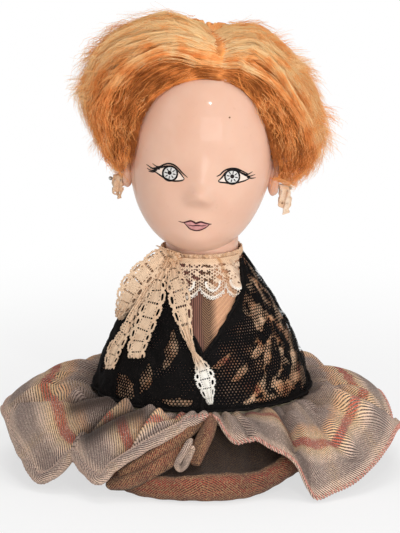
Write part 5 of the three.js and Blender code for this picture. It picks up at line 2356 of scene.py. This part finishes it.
@dataclass
class Bodice:
    """The stuffed dome and its cloths: copper lining, pleated front and black lace shawl. Its windows are
    leaves of open net in solid lace, and its leaves are solid ones in open net."""

    lining_inset: float = 1.9
    dickey_inset: float = 1.3
    dickey_margin: float = 3.5
    dickey_tail: float = 5.0
    dickey_right: float = 4.5
    columns: int = 440
    rows: int = 92
    edge_radius: float = 0.95
    neck_stand: float = 2.8
    windows: tuple[LaceLeaf, ...] = (
        LaceLeaf(51, 93, 12, 6, -30), LaceLeaf(41, 78, 12, 3.4, 55), LaceLeaf(71, 71, 13, 5, -8),
        LaceLeaf(51, 53, 10, 5.4, 20), LaceLeaf(34, 49.5, 17, 2.8, 88), LaceLeaf(34, 57, 9, 4, 40),
        LaceLeaf(46, 103, 9, 3, -20), LaceLeaf(70, 85, 9, 4, -25), LaceLeaf(23, 66, 9, 2.6, 50),
        LaceLeaf(12, 72, 8, 2.2, 58), LaceLeaf(70, 57, 10, 3.4, 0), LaceLeaf(-20, 79, 13, 4, 3),
        LaceLeaf(-47, 53, 14, 7.5, -38), LaceLeaf(-33, 62, 10, 4.2, 8), LaceLeaf(-13, 50.5, 13, 2.8, 88),
        LaceLeaf(-75, 66, 12, 4.4, 10), LaceLeaf(-62, 86, 9, 3.0, -12), LaceLeaf(82, 96, 12, 4.4, 0),
    )
    leaves: tuple[LaceLeaf, ...] = (
        LaceLeaf(51, 85, 10, 2.8, 48), LaceLeaf(49, 68, 13, 3.2, 42), LaceLeaf(86, 76, 12, 3, 6),
        LaceLeaf(38, 88, 9, 3, 8), LaceLeaf(55, 61, 9, 2.6, 66), LaceLeaf(36, 66, 10, 3, 30),
        LaceLeaf(62, 50, 8, 2.4, 70), LaceLeaf(60, 100, 10, 2.8, -35), LaceLeaf(66, 78, 9, 2.2, -15),
    )
    net_from: float = 24.0
    net_to: float = 118.0
    bag_inset: float = 3.75
    lining_length: float = 118.0
    dickey_flat: tuple[float, float] = (66.0, 66.0)
    shawl_flat: tuple[float, float] = (400.0, 100.0)

    def bag(self, finish: PlainStuff) -> None:
        """Shapes a ball into the stuffed cotton bag.

        Args:
            finish: The cotton.
        """
        low, high = box_of("body_bag")
        piece = ball("stuffed_bag", 128, 96)
        spots = unit(vertices_of(piece))
        share = np.arccos(np.clip(spots[:, 2], -1, 1)) / math.pi
        corner = np.interp(share, (0, 0.12, 0.88, 1), (0, 1, 1, 0))
        height = np.interp(share, (0, 0.12, 0.88, 1), (high[2], high[2] - 2, low[2] + 2, low[2]))
        lump = 0.35 * ripple(spots * 50, 14, 6) - 0.35
        radius = (dome_radius(height) - self.bag_inset + lump) * np.sin(corner * math.pi / 2) ** 0.7
        turn = np.arctan2(spots[:, 1], spots[:, 0])
        move_vertices(piece, joined(radius * np.cos(turn), radius * np.sin(turn), height))
        dress(piece, "body", finish.make(), ("body_bag", "body_core"))

    def lining(self, finish: CopperCloth) -> None:
        """Makes the copper lining that lies on the bag.

        Args:
            finish: The copper cloth.
        """
        columns, rows = 200, 44
        low, high = box_of("underbodice")
        angle = np.linspace(0, 360, columns, endpoint=False)[:, None]
        height = np.linspace(low[2], high[2] - 0.5, rows)[None, :]
        pleats = 0.35 * (1 + np.sin(np.radians(angle * 31))) * smooth(90, 124, height)
        radius = dome_radius(height) - self.lining_inset - pleats
        points = around(angle, radius, height)
        piece = grid_piece("copper_lining", points, closed=True)
        thicken(piece, 0.6, -1)
        dress(piece, "body", finish.make(), ("underbodice",))
        declare(piece, 2 * math.pi * WAIST_RADIUS, self.lining_length, "stretched", ["stuffed_bag"])

    def dickey(self, finish: PleatedNet) -> None:
        """Makes the pleated front in the shawl's opening.

        Args:
            finish: The net.
        """
        columns, rows = 260, 90
        height = np.linspace(OPENING_POINT - self.dickey_tail, NECKLINE_HEIGHT, rows)[None, :]
        share = np.linspace(-1, 1, columns)[:, None]
        half = dome_radius(height) * np.radians(opening_angle(height)) + self.dickey_margin
        across = share * half + self.dickey_right * np.maximum(share, 0)
        slant = height - 0.9 * np.abs(across - 2.0)
        pleat = 0.22 * np.sin(2 * math.pi * slant / 2.3) * smooth(-3, 2, across)
        pleat += 0.2 * np.sin(2 * math.pi * across / 1.6) * smooth(1, -3, across)
        radius = dome_radius(height) - self.dickey_inset + pleat
        points = around(np.degrees(across / dome_radius(height)), radius, height)
        piece = grid_piece("pleated_dickey", points, cloth=joined(across, height))
        thicken(piece, 0.4, -1)
        dress(piece, "body", finish.make(), ("dickey",))
        declare(piece, *self.dickey_flat, "stretched", ["copper_lining"], 1.2)

    def all_windows(self) -> list[LaceLeaf]:
        """The windows of the front, and others like them round the sides and back.

        Returns:
            All the windows.
        """
        draw = np.random.default_rng(21)
        windows = list(self.windows)
        for angle in np.arange(92, 270, 17.0):
            for height in (54, 72, 90, 107):
                windows.append(LaceLeaf(
                    angle + draw.normal(0, 4), height + draw.normal(0, 3), draw.uniform(7, 12),
                    draw.uniform(2.4, 4.6), draw.uniform(-50, 50)))
        return windows

    def motif(self, angle: Array, height: Array) -> Array:
        """How far each place lies outside the windows of net: below zero within one.

        Args:
            angle: Angles round the doll.
            height: Heights.

        Returns:
            A distance for each place.
        """
        spread = joined(np.radians(angle) * 50, height)
        side = (angle + 180) % 360 - 180
        right = smooth(self.net_from, self.net_from + 14, side) * smooth(self.net_to, self.net_to - 20, side)
        value = 7.0 - 7.9 * right + 2.6 * right * ripple(spread, 8.0, 35)

        def leaf(form: LaceLeaf) -> Array:
            """Distance outside one leaf shape.

            Args:
                form: The leaf.

            Returns:
                The distance at each place.
            """
            over = np.radians((angle - form.angle + 180) % 360 - 180) * dome_radius(np.array(form.height))
            up = (height - form.height) * 1.12
            sine, cosine = sine_cosine(form.lean)
            along, across = over * sine + up * cosine, over * cosine - up * sine
            taper = (along / form.long) ** 2
            past_side = np.abs(across + 1.6 * taper) - form.wide * (1 - taper)
            return np.maximum(past_side, np.abs(along) - form.long)

        for window in self.all_windows():
            value = np.minimum(value, leaf(window))
        for form in self.leaves:
            value = np.maximum(value, -leaf(form))
        return value

    def shawl(self, finish: BlackLace, edge_finish: BlackCord) -> None:
        """Makes the black lace shawl with its rolled edge.

        Args:
            finish: The lace.
            edge_finish: The edge's cord.
        """
        height = np.linspace(HEM_HEIGHT, NECKLINE_HEIGHT, self.rows)[None, :]
        slit = np.degrees(0.2 / dome_radius(height))
        start = np.maximum(opening_angle(height), slit)
        share = np.linspace(0, 1, self.columns)[:, None]
        right = start + right_gape(height)
        angle = right + (360 - start - right) * share
        base = dome_radius(height)
        edge_off = np.radians(np.minimum(angle - right, 360 - start - angle)) * base
        drop = np.broadcast_to(height - HEM_HEIGHT, edge_off.shape)
        spot = joined(np.radians(angle) * 50, height)
        over, up = spot[..., 0], spot[..., 1]
        slant = joined(over * 0.45 + up * 0.3, up * 0.35 - over * 0.1)
        crease = 0.35 + 0.7 * ripple(slant, 7.0, 31) + 0.35 * ripple(spot, 8.0, 32)
        hem = (0.8 + 0.8 * ripple(spot, 14.0, 36)) * bell(drop - 3.0, 4.0)
        radius = base - 0.55 + crease + 0.9 * bell(edge_off - 3.0, 3.0) * smooth(70, 82, height) + hem
        stand = self.neck_stand * smooth(115, 124, height) * smooth(2, 14, edge_off) * smooth(270, 200, angle)
        radius = radius - 0.8 * stand
        points = around(angle, radius, height + stand)
        motif = self.motif(angle, height)
        motif = np.maximum(motif + 0.9 * ripple(spot, 4.5, 33), 2.4 - np.minimum(edge_off * 0.5, drop))
        sheer = 0.1 + 0.9 * smooth(4, 18, edge_off) * smooth(200, 120, angle) + 0.4 * ripple(spot, 12.0, 34)
        sheer = sheer * smooth(1.5, 6.0, np.minimum(edge_off, drop))
        piece = grid_piece("black_shawl", points, cloth=joined(over, up, sheer), motif=motif)
        thicken(piece, 0.45, -1)
        dress(piece, "body", finish.make(), ("lace_shawl",))
        rim = np.concatenate([points[0, ::-1], points[:, 0], points[-1]])
        outward = unit(rim * np.array([1.0, 1.0, 0.0]))
        path = (rim + outward * 0.2)[None]
        radii = self.edge_radius * (1 + 0.22 * ripple(rim, 6.0, 12))
        corners, faces = tubes(path, radii[None], outward[None] + np.array([0, 0, 0.4]), 8)
        cord = dress(build("shawl_edge", corners, faces), "body", edge_finish.make())
        declare(piece, *self.shawl_flat, "draped", ["copper_lining"], 1.08, [cord])


@dataclass(frozen=True)
class Crease:
    """A ridge or a valley of the flounce along pixels of the photograph: its height, its half width, and how
    much painted shade it gets."""

    pixels: tuple[Pixel, ...]
    height: float
    half: float
    dark: float = 0.0


@dataclass
class Flounce:
    """Plaid wool flounce, caught up at the front. A fold is its hem's angle, reach and height, then its
    root's angle and billow."""

    view: PhotoView
    creases: tuple[Crease, ...] = (
        Crease(((98, 384), (86, 392), (74, 400)), 6.0, 4.5),
        Crease(((112, 398), (94, 402), (74, 408)), -9.0, 6.0, 0.95),
        Crease(((126, 407), (105, 412), (68, 416), (16, 419)), 8.5, 5.0),
        Crease(((140, 412), (119, 419), (104, 428), (88, 437)), -9.0, 6.0, 0.94),
        Crease(((157, 415), (137, 425), (109, 434), (80, 448)), 8.0, 5.0),
        Crease(((176, 418), (142, 437), (116, 452)), -7.0, 5.0, 0.1),
        Crease(((96, 386), (108, 392), (128, 402)), -4.0, 4.0, 0.35),
        Crease(((66, 366), (52, 388), (34, 402)), -4.0, 7.0),
        Crease(((64, 425), (50, 445), (44, 464)), -3.0, 8.0, 0.1),
        Crease(((295, 410), (306, 440), (312, 470)), 3.5, 7.0),
        Crease(((281, 406), (290, 425), (294, 445)), -6.0, 6.0),
        Crease(((325, 392), (344, 403), (368, 413), (391, 427)), 6.0, 6.0),
        Crease(((328, 384), (350, 393), (372, 402), (390, 414)), -6.0, 5.5),
        Crease(((314, 408), (328, 431), (350, 453)), -5.0, 7.0),
        Crease(((240, 415), (246, 424), (250, 434)), -5.0, 5.0, 0.2),
    )
    front_folds: tuple[tuple[float, ...], ...] = (
        (-118, 50, 24, -118, 20), (-104, 52, 31, -108, 12), (-93, 53, 31, -98, 10), (-86, 54, 33, -91, -2),
        (-81, 54, 33, -85, 18), (-77, 54, 32, -70, -14), (-72, 54, 28, -50, 16), (-62, 54, 19, -46, 9),
        (-55, 54, 10, -42, -8), (-51, 50, 13, -37, -12), (-47, 39, 23, -29, 14), (-40, 43, 18, -25, 6),
        (-33, 47, 14, -20, -3), (-30, 40, 23, -15, 5), (-24, 34, 32, -11, 8), (-16, 27, 40, -7, 7),
        (-7, 18, 46, -3, 7), (0, 12, 47, 1, 6), (6, 11, 45, 5, 4), (10, 16, 38, 9, 3),
        (14, 21, 33, 14, 6), (20, 25, 35, 20, 8), (25, 29, 31, 25, 0), (30, 34, 26, 30, 9),
        (32.6, 39, 20, 34, 9), (33.8, 48, 8, 38, 9), (35, 53, 3, 42, 12), (41, 53, 5, 46, 5),
        (51, 54, 10, 54, 14), (58, 54, 15, 61, 1), (67, 54, 21, 70, 15), (75, 53, 25, 78, 4),
        (84, 53, 25, 87, 13), (96, 50, 19, 97, 1), (107, 50, 27, 107, 8), (116, 51, 29, 117, 9),
    )
    back_from: float = 126.0
    back_to: float = 234.0
    back_stops: int = 11
    top: float = 44.0
    tuck: float = 2.0
    billow_reach: float = 0.6
    thickness: float = 1.6
    columns: int = 880
    rows: int = 36
    stitch_pitch: float = 2.3
    stitch_radius: float = 0.45
    thin_edge: float = 1.15
    rolled_edge: float = 3.3

    def folds(self) -> Array:
        """All the folds round the skirt, the first one again at the end.

        Returns:
            One fold in each row.
        """
        folds = [list(fold) for fold in self.front_folds]
        draw = np.random.default_rng(45)
        for stop, angle in enumerate(np.linspace(self.back_from, self.back_to, self.back_stops)):
            swing = (1 if stop % 2 else -1) * draw.uniform(0.25, 1.0)
            shift = draw.uniform(-3.5, 3.5) * (0 < stop < self.back_stops - 1)
            folds.append([angle + shift, 50 - swing * 2.5, 17 + swing * 8, angle - shift, 13 + swing * 6])
        angle, reach, height, root, billow = self.front_folds[0]
        return np.array(folds + [[angle + 360, reach, height, root + 360, billow]])

    def surface(self, creases: bool) -> Array:
        """The middle of the cloth, with or without the creases.

        Args:
            creases: Whether the creases are pressed in.

        Returns:
            Points by column round the skirt and row from the waist to the hem.
        """
        folds = self.folds()
        share = np.linspace(0, 1, self.columns)
        hem, root = through(folds[:, :3], share), through(folds[:, 3:], share)
        out = np.linspace(0, 1, self.rows)[None, :]
        near, middle, far = (1 - out) ** 2, 2 * out * (1 - out), out ** 2
        edge = WAIST_RADIUS + 0.3
        reach = WAIST_RADIUS + hem[:, 1:2]
        radius = near * edge + middle * (edge + (reach - edge) * self.billow_reach) + far * reach
        height = near * self.top + middle * (self.top + root[:, 1:]) + far * hem[:, 2:]
        angle = root[:, :1] + (hem[:, :1] - root[:, :1]) * out
        gathers = np.sin(root[:, :1] * 1.02 + 2.2 * np.sin(root[:, :1] * 0.11))
        gathers = gathers * 1.6 * (1 - out) ** 1.3 * smooth(0, 0.12, out)
        spot = around(angle, radius, height)
        soft = 0.9 * ripple(spot, 24.0, 41) * smooth(0.15, 0.5, out) + gathers
        tucked = smooth(0.06, 0.0, out)
        radius = radius - tucked * (edge - UNDERSKIRT_ROOT)
        height = height - tucked * self.tuck - self.thickness / 2 + soft
        if creases:
            free = smooth(0.05, 0.2, out) * smooth(1.02, 0.86, out)
            height += self.creased(around(angle, radius, height)) * free
        return around(angle, radius, np.maximum(height, self.thickness * 0.6))

    def seen_from(self, points: Array, crease: Crease) -> Array:
        """How many pixels away from a crease points are seen.

        Args:
            points: Points of the cloth.
            crease: The crease.

        Returns:
            A distance for each point.
        """
        seen, stops = self.view.pixels(points), np.array(crease.pixels, float)
        nearest = np.where(points[..., 1] < 20, 1e3, 1e6)
        for start, end in zip(stops[:-1], stops[1:]):
            share = np.clip((seen - start) @ (end - start) / np.sum((end - start) ** 2), 0, 1)
            gap = np.linalg.norm(seen - start - share[..., None] * (end - start), axis=-1)
            nearest = np.minimum(nearest, gap + 1e6 * (points[..., 1] >= 20))
        return nearest

    def creased(self, points: Array) -> Array:
        """How far the creases raise the cloth."""
        return sum(form.height * bell(self.seen_from(points, form), form.half) for form in self.creases)

    def painted_shade(self, points: Array) -> Array:
        """The painted shade on the cloth: most near the waist, a little on the left, and in the valleys,
        least on the ridges.

        Args:
            points: Points by column and row.

        Returns:
            A share of painted shade for each point.
        """
        # Painted shade near the waist under the shawl, and a little more on the left side.
        waist = 0.6 * smooth(0.26, 0.02, np.linspace(0, 1, self.rows))
        total = 1 - (1 - waist) * (1 - 0.08 * smooth(-10, -60, points[..., 0]))
        # Painted shade in each crease's valley, taken off again on its ridges.
        for crease in sorted(self.creases, key=attrgetter("height"), reverse=True):
            near = bell(self.seen_from(points, crease), 1.7 * crease.half)
            ridge_unshaded = np.clip(crease.height / 8, 0, 0.94)
            total = 1 - (1 - total * (1 - ridge_unshaded * near)) * (1 - crease.dark * near)
        return total

    def rolled_hem(self, points: Array, u: Array, finish: HemThread,
                   material: Material) -> list[Piece]:
        """Rolls the edge of the cloth under, fat where the front is caught up, and whips it over and over.

        Args:
            points: The middle of the cloth.
            u: Places along the hem.
            finish: The thread.
            material: The plaid.

        Returns:
            The roll and its stitches.
        """
        hem, sides = points[:, -1], 12
        inward = unit(points[:, -4] - hem)
        angle = bearing(hem)
        fat = smooth(-78, -60, angle) * smooth(5, -6, angle)
        fat = fat * (1 + 0.12 * ripple(hem, 9.0, 44))
        radii = self.thin_edge + (self.rolled_edge - self.thin_edge) * fat
        path = hem + inward * (0.5 * radii)[:, None]
        path[:, 2] = np.maximum(path[:, 2] - (radii - self.thin_edge), radii + self.stitch_radius + 0.3)
        ups = np.broadcast_to(np.array([0.0, 0.0, 1.0]), path.shape)
        corners, faces = tubes(path[None], radii[None], ups[None], sides)
        round_it = np.tile(np.arange(sides) / sides, len(path)) * 2 * math.pi * np.repeat(radii, sides)
        cloth = joined(np.repeat(u, sides), np.abs(round_it - math.pi * np.repeat(radii, sides)))
        roll = dress(build("rolled_hem", corners, faces, cloth=cloth), "body", material)
        stops = np.arange(1.0, u[-1] - 1.0, self.stitch_pitch)[:, None]
        turns = np.radians(np.linspace(155, -100, 8))[None, :]
        along = stops + np.linspace(-1.1, 1.1, 8)[None, :]

        def at(values: Array) -> Array:
            """Reads values along the hem at each point of each stitch."""
            return np.stack([np.interp(along, u, values[:, axis]) for axis in range(3)], axis=-1)

        off = unit(-at(inward) * np.array([1.0, 1.0, 0.0]))
        out = off * np.cos(turns)[..., None] + np.array([0.0, 0.0, 1.0]) * np.sin(turns)[..., None]
        paths = at(path) + out * (np.interp(along, u, radii) + 0.15)[..., None]
        thread, thread_faces = tubes(paths, np.full(paths.shape[:2], self.stitch_radius), out, 4)
        angle = bearing(thread)
        worn = 0.1 + 0.85 * smooth(0, -12, angle) * smooth(-150, -110, angle)
        stitches = build("hem_stitches", thread, thread_faces, worn=worn)
        return [roll, dress(stitches, "body", finish.make())]

    def build(self, finish: PlaidWool, thread: HemThread) -> None:
        """Makes the flounce with its stitched hem and dresses it.

        Args:
            finish: The plaid.
            thread: The thread of the hem.
        """
        points, smoother = self.surface(True), self.surface(False)
        v = walked(smoother[:, ::-1])[:, ::-1]
        along = walked(points[:, -1])
        # The third cloth value is the painted shade.
        cloth = joined(along[:, None], v, self.painted_shade(points))
        piece = grid_piece("plaid_flounce", points, flipped=True, cloth=cloth)
        thicken(piece, self.thickness)
        material = finish.make()
        dress(piece, "body", material, ("skirt_flounce",))
        trim = self.rolled_hem(points, along, thread, material)
        tall = float(v.max(axis=1).mean())
        declare(piece, float(along[-1]), tall, "gathered", ["folded_underskirt"], 1.15, trim)


@dataclass
class Underskirt:
    """The layer under the flounce, with a fat rolled hem, and pleats and a tucked loop at the front. A pleat
    runs through stops, each of them its place and its radius there."""

    root: float = UNDERSKIRT_ROOT
    top: float = 36.2
    roll_radius: float = 8.0
    roll_middle: float = 90.5
    sag: float = 8.0
    thickness: float = 1.6
    columns: int = 460
    slope_rows: int = 24
    roll_rows: int = 30
    pull_in: float = 17.0
    pleats: tuple[tuple[tuple[float, float, float, float], ...], ...] = (
        ((1, -70, 44, 3.4), (-10, -79, 36.5, 4.2), (-24, -83, 27.5, 4.8), (-38, -84, 19, 4.8),
         (-48, -81, 13, 3.8)),
        ((-4, -76, 32, 3.4), (-16, -84, 24.5, 4.4), (-30, -87, 16.5, 5.0), (-44, -86, 10, 5.0),
         (-55, -82, 7.5, 3.6)),
        ((6, -68, 45, 3.0), (4, -77, 40, 4.3), (0, -83, 31, 4.5), (-5, -86, 20, 3.6)),
        ((-5.8, -86, 36, 1.9), (-11, -88, 27.3, 2.1), (-13.9, -89, 21.8, 2.1), (-12.6, -89.5, 18.8, 2.1),
         (-10.0, -89.5, 20.4, 2.1), (-7.8, -89, 25, 2.1), (-4.8, -87, 32, 1.8)),
    )
    plaid_pleat: int = 3
    pleat_sides: int = 28
    pleat_steps: int = 80
    flat_depth: float = 90.0
    tape_width: float = 10.0

    def skirt(self, material: Material) -> Piece:
        """Makes the sloping cloth and its roll, which is pulled in and lifted at both sides of the front.

        Args:
            material: The tweed.

        Returns:
            The cloth.
        """
        angle = np.linspace(0, 360, self.columns, endpoint=False)[:, None]
        front = (angle + 180) % 360 - 180
        wander = joined(np.cos(np.radians(angle)), np.sin(np.radians(angle))) * 60
        fat = self.roll_radius * (1 + 0.07 * ripple(wander, 40, 51))
        pulled = self.pull_in * smooth(6, 56, np.abs(front + 3))
        middle = self.roll_middle - pulled + 1.4 * ripple(wander, 55, 52)
        lift = (7 * smooth(14, 44, front) + 4 * smooth(24, 48, -front)) * smooth(100, 60, np.abs(front))
        turn = np.linspace(0.42, -1.05, self.roll_rows)[None, :] * math.pi
        ribs = 1 + 0.03 * np.sin(np.radians(angle * 46) + 5 * turn) + 0.05 * ripple(wander, 18, 54)
        roll_r = middle + fat * ribs * np.cos(turn)
        roll_z = np.maximum(fat + fat * ribs * np.sin(turn), 0.9) + lift
        share = np.linspace(0, 1, self.slope_rows, endpoint=False)[None, :]
        bow = 4 * share * (1 - share)
        folds = 2.0 * ripple(wander, 14, 53) * bow
        slope_r = self.root + (roll_r[:, :1] - self.root) * share
        slope_z = self.top + (roll_z[:, :1] - self.top) * share - self.sag * bow + folds
        radius = np.concatenate([slope_r, roll_r], axis=1)
        height = np.concatenate([slope_z, roll_z], axis=1)
        points = around(angle, radius, height)
        v = walked(points)
        u = np.abs(np.radians(angle) - math.pi) * self.roll_middle
        # The third cloth value: the roll's red stripe, painted shade on the roll's inner top, and painted
        # shade over the whole slope in the recess under the flounce.
        stripe = bell(turn / math.pi - 0.2, 0.1) + 0.6 * bell(turn / math.pi + 0.05, 0.05)
        shadow = 0.5 * smooth(0.3, 0.42, turn / math.pi)
        red_and_shade = np.concatenate([-0.82 + 0.3 * share ** 3, 0.8 * stripe + 0.3 - shadow], axis=1)
        piece = grid_piece("folded_underskirt", points, closed=True, flipped=True, cloth=joined(u, v, red_and_shade))
        thicken(piece, self.thickness, -1)
        return dress(piece, "body", material, ("underskirt",))

    def pleat(self, number: int, material: Material) -> Piece:
        """Makes one of the soft folds that slant down under the caught-up hem.

        Args:
            number: Which of them.
            material: The tweed.

        Returns:
            The fold.
        """
        stops = np.array(self.pleats[number], float)
        steps = np.arange(self.pleat_steps)
        run = through(stops, np.linspace(0, 1, self.pleat_steps))
        path, radii = run[:, :3], run[:, 3] * (1 + 0.06 * ripple(run[:, :3], 12, 61 + number))
        radii = radii * np.sqrt(np.clip(np.minimum(steps, steps[::-1]) / 4 + 0.1, 0, 1))
        ups = np.broadcast_to(np.array([0.0, -0.35, 1.0]), path.shape)
        corners, faces = tubes(path[None], radii[None], ups[None], self.pleat_sides)
        turn = np.tile(np.arange(self.pleat_sides) / self.pleat_sides * 2 * math.pi, len(path))
        along = np.repeat(np.linspace(0, 80, len(path)), self.pleat_sides)
        middle = np.repeat(path, self.pleat_sides, axis=0)
        twisted = (turn + 0.02 * along) % (2 * math.pi)
        groove = 1 + 0.13 * np.sin(3 * turn + along / 14) - 0.22 * bell(twisted - 4.6, 0.35)
        corners = middle + (corners - middle) * groove[:, None]
        # Red flecks along the fold, with painted shade on its underside.
        red_and_shade = 0.25 + 0.2 * np.sin(turn * 2 + along / 12) - smooth(0.2, 0.8, -np.cos(turn))
        if number == self.plaid_pleat:
            red_and_shade = np.zeros(len(turn))
        cloth = joined(along, np.abs(turn - math.pi) * np.repeat(radii, self.pleat_sides), red_and_shade)
        piece = build(f"front_pleat_{number + 1}", corners, faces, cloth=cloth)
        return dress(piece, "body", material)

    def tape(self, finish: PlainStuff) -> None:
        """Makes the tape that holds the gathers, between the two layers.

        Args:
            finish: The tape's cotton.
        """
        columns, rows = 180, 5
        low, high = box_of("waist_tape")
        angle = np.linspace(0, 360, columns, endpoint=False)[:, None]
        height = np.linspace(low[2], high[2], rows)[None, :]
        points = around(angle, high[0] - 0.4 + 0.1 * np.sin(np.radians(angle * 45)), height)
        piece = grid_piece("gather_tape", points, closed=True)
        thicken(piece, 0.7)
        dress(piece, "body", finish.make(), ("waist_tape",))
        declare(piece, 2 * math.pi * high[0], self.tape_width, "stretched", ["copper_lining"])

    def build(self, finish: BrownTweed, loop_finish: PlaidWool, tape_finish: PlainStuff) -> None:
        """Makes the underskirt, its folds and its tape, and dresses them.

        Args:
            finish: The under layer's tweed.
            loop_finish: The plaid of the loop.
            tape_finish: The tape's cotton.
        """
        material = finish.make()
        skirt = self.skirt(material)
        plaid = loop_finish.make()
        folds = []
        for number in range(len(self.pleats)):
            folds.append(self.pleat(number, plaid if number == self.plaid_pleat else material))
        girth = 2 * math.pi * self.roll_middle
        declare(skirt, girth, self.flat_depth, "gathered", ["copper_lining"], 1.05, folds)
        self.tape(tape_finish)


@dataclass
class Base:
    """The felt circle underneath, and the finishes of the solids that carry the doll."""

    felt_bevel: float = 0.5

    def felt(self, finish: PlainStuff) -> None:
        """Makes the felt circle with a worn edge.

        Args:
            finish: The felt.
        """
        low, high = box_of("base_cover")
        bpy.ops.object.select_all(action="DESELECT")
        thick = high[2] - low[2]
        bpy.ops.mesh.primitive_cylinder_add(
            vertices=128, radius=high[0] * MM, depth=thick * MM, location=(0, 0, (low[2] + thick / 2) * MM))
        piece = bpy.context.active_object
        piece.name = "felt_circle"
        bpy.ops.object.transform_apply()
        bpy.ops.object.modifier_add(type="BEVEL")
        edge = piece.modifiers[-1]
        edge.width = self.felt_bevel * MM
        edge.segments = 3
        bpy.ops.object.modifier_apply(modifier=edge.name)
        bpy.ops.object.shade_smooth_by_angle()
        dress(piece, "body", finish.make(), ("base_cover",))
        declare(piece, 2 * high[0], 2 * high[0], "laid", ["base_board"], 1.0)

    def solids(self) -> None:
        """Gives the solids that stay their finishes."""
        wood = PlainStuff("bare_wood", tint("D2B083"), tint("B08A5A"), (2.0, 2.0, 16.0), 0.7)
        card = PlainStuff("grey_card", tint("B99C72"), tint("9A7D55"), (1.5, 1.5, 0.6), 0.9)
        steel = PlainStuff("plain_steel", tint("CFCDC6"), tint("A9A7A0"), (0.6, 0.6, 3.0), 0.3, 0.02, 1.0)
        brass = PlainStuff("plain_brass", tint("D9B45A"), tint("B8913E"), (0.8, 0.8, 3.0), 0.35, 0.02, 1.0)
        nodes = {
            wood: ("neck_post", "neck_seat", "neck_plug"), card: ("base_board",), brass: ("post_screw",),
            steel: ("post_washer", "earring_pin_left", "earring_pin_right"),
        }
        for finish, names in nodes.items():
            material = finish.make()
            for node in names:
                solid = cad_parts[node]
                solid.data.materials.clear()
                solid.data.materials.append(material)
                LOG.info("%s: keeps its solid", node)

    def build(self) -> None:
        """Makes the felt and finishes the solids."""
        self.felt(PlainStuff("brown_felt", tint("5A4636"), tint("453427"), (0.9, 0.9, 0.9), 0.95, 0.2))
        self.solids()


def main() -> None:
    """Builds the doll's pieces in order."""
    logging.basicConfig(level=logging.INFO, format="%(name)s: %(message)s")
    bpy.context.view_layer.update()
    view = PhotoView()
    view.camera()
    Studio().build()
    head = Head()
    head_piece = head.build(SkinPlastic())
    FacePaint(view, head_piece).build()
    Wig(head).build(Mohair(), PlainStuff("wig_cotton", tint("C98A50"), tint("9C5A28"), (1.2, 1.2, 1.2)))
    lace = CreamLace().make()
    ribbons = (
        LaceRibbon("lace_loop", "ribbon_loop", (
            (-42, -4, 7, 3, 0.6), (-47, -5, 11, 6, 0.9), (-56, 4, 14, 10.5, 1), (-65, 16, 15, 9.5, 1),
            (-71, 26, 10.5, 5.5, 0.9), (-78, 35, 5, 1.6, 0.7)), 16.0, True),
        LaceRibbon("lace_tail_left", "ribbon_tail_left", (
            (-42, -1, 5, 1.4, 0), (-52, 7, 5.5, 1.6, 0.3), (-55, 18, 5.5, 1.6, 0.3), (-58, 30, 6.5, 1.5, 0.2),
            (-59, 41, 9.5, 1.4, 0.2), (-63, 52, 13, 1.4, 0.2), (-61, 62, 12, 1.4, 0)), 15.0),
        LaceRibbon("lace_tail_middle", "ribbon_tail_middle", (
            (-41, -1, 6, 2.5, 0.2), (-45, 9, 9, 2.6, 0.2), (-42, 18, 14, 2.5, 0.2), (-42, 31, 16, 2.4, 0.1),
            (-43, 42, 16, 2.2, 0), (-41, 52, 12, 2, 0)), 16.0),
        LaceRibbon("lace_tail_right", "ribbon_tail_right", (
            (-38, -1, 7, 0.8, 0), (-33, 6, 11, 0.8, 0), (-24, 13, 13.5, 0.7, 0), (-16, 24, 12.5, 0.7, 0),
            (-9.5, 37, 6, 0.6, 0), (-5, 46, 2.8, 0.6, 0), (-0.5, 53, 8, 0.9, 0), (1.5, 59, 12.5, 0.9, 0),
            (3, 66, 9, 0.7, 0), (4.5, 74, 2.4, 0.6, 0)), 14.0, fade_from=0.58),
    )
    bodice = Bodice()
    bodice.bag(PlainStuff("calico", tint("D9CBB0"), tint("C4B393"), (0.7, 0.7, 0.7), 0.9))
    bodice.lining(CopperCloth())
    bodice.dickey(PleatedNet())
    bodice.shawl(BlackLace(), BlackCord())
    Collar().build(lace)
    NeckBand().build(lace)
    for ribbon in ribbons:
        ribbon.build(lace, ["black_shawl"])
    EarLace("ear_lace_left", "earring_left", "left_earring", -0.3, 0.9, 0.0).build(lace)
    EarLace("ear_lace_right", "earring_right", "right_earring", 0.15, 0.0, 4.5).build(lace)
    tape = PlainStuff("cotton_tape", tint("8A7762"), tint("6B5A4A"), (0.8, 0.8, 0.8))
    Underskirt().build(BrownTweed(), PlaidWool(), tape)
    Flounce(view).build(PlaidWool(), HemThread())
    Base().build()


if __name__ == "__main__":
    main()
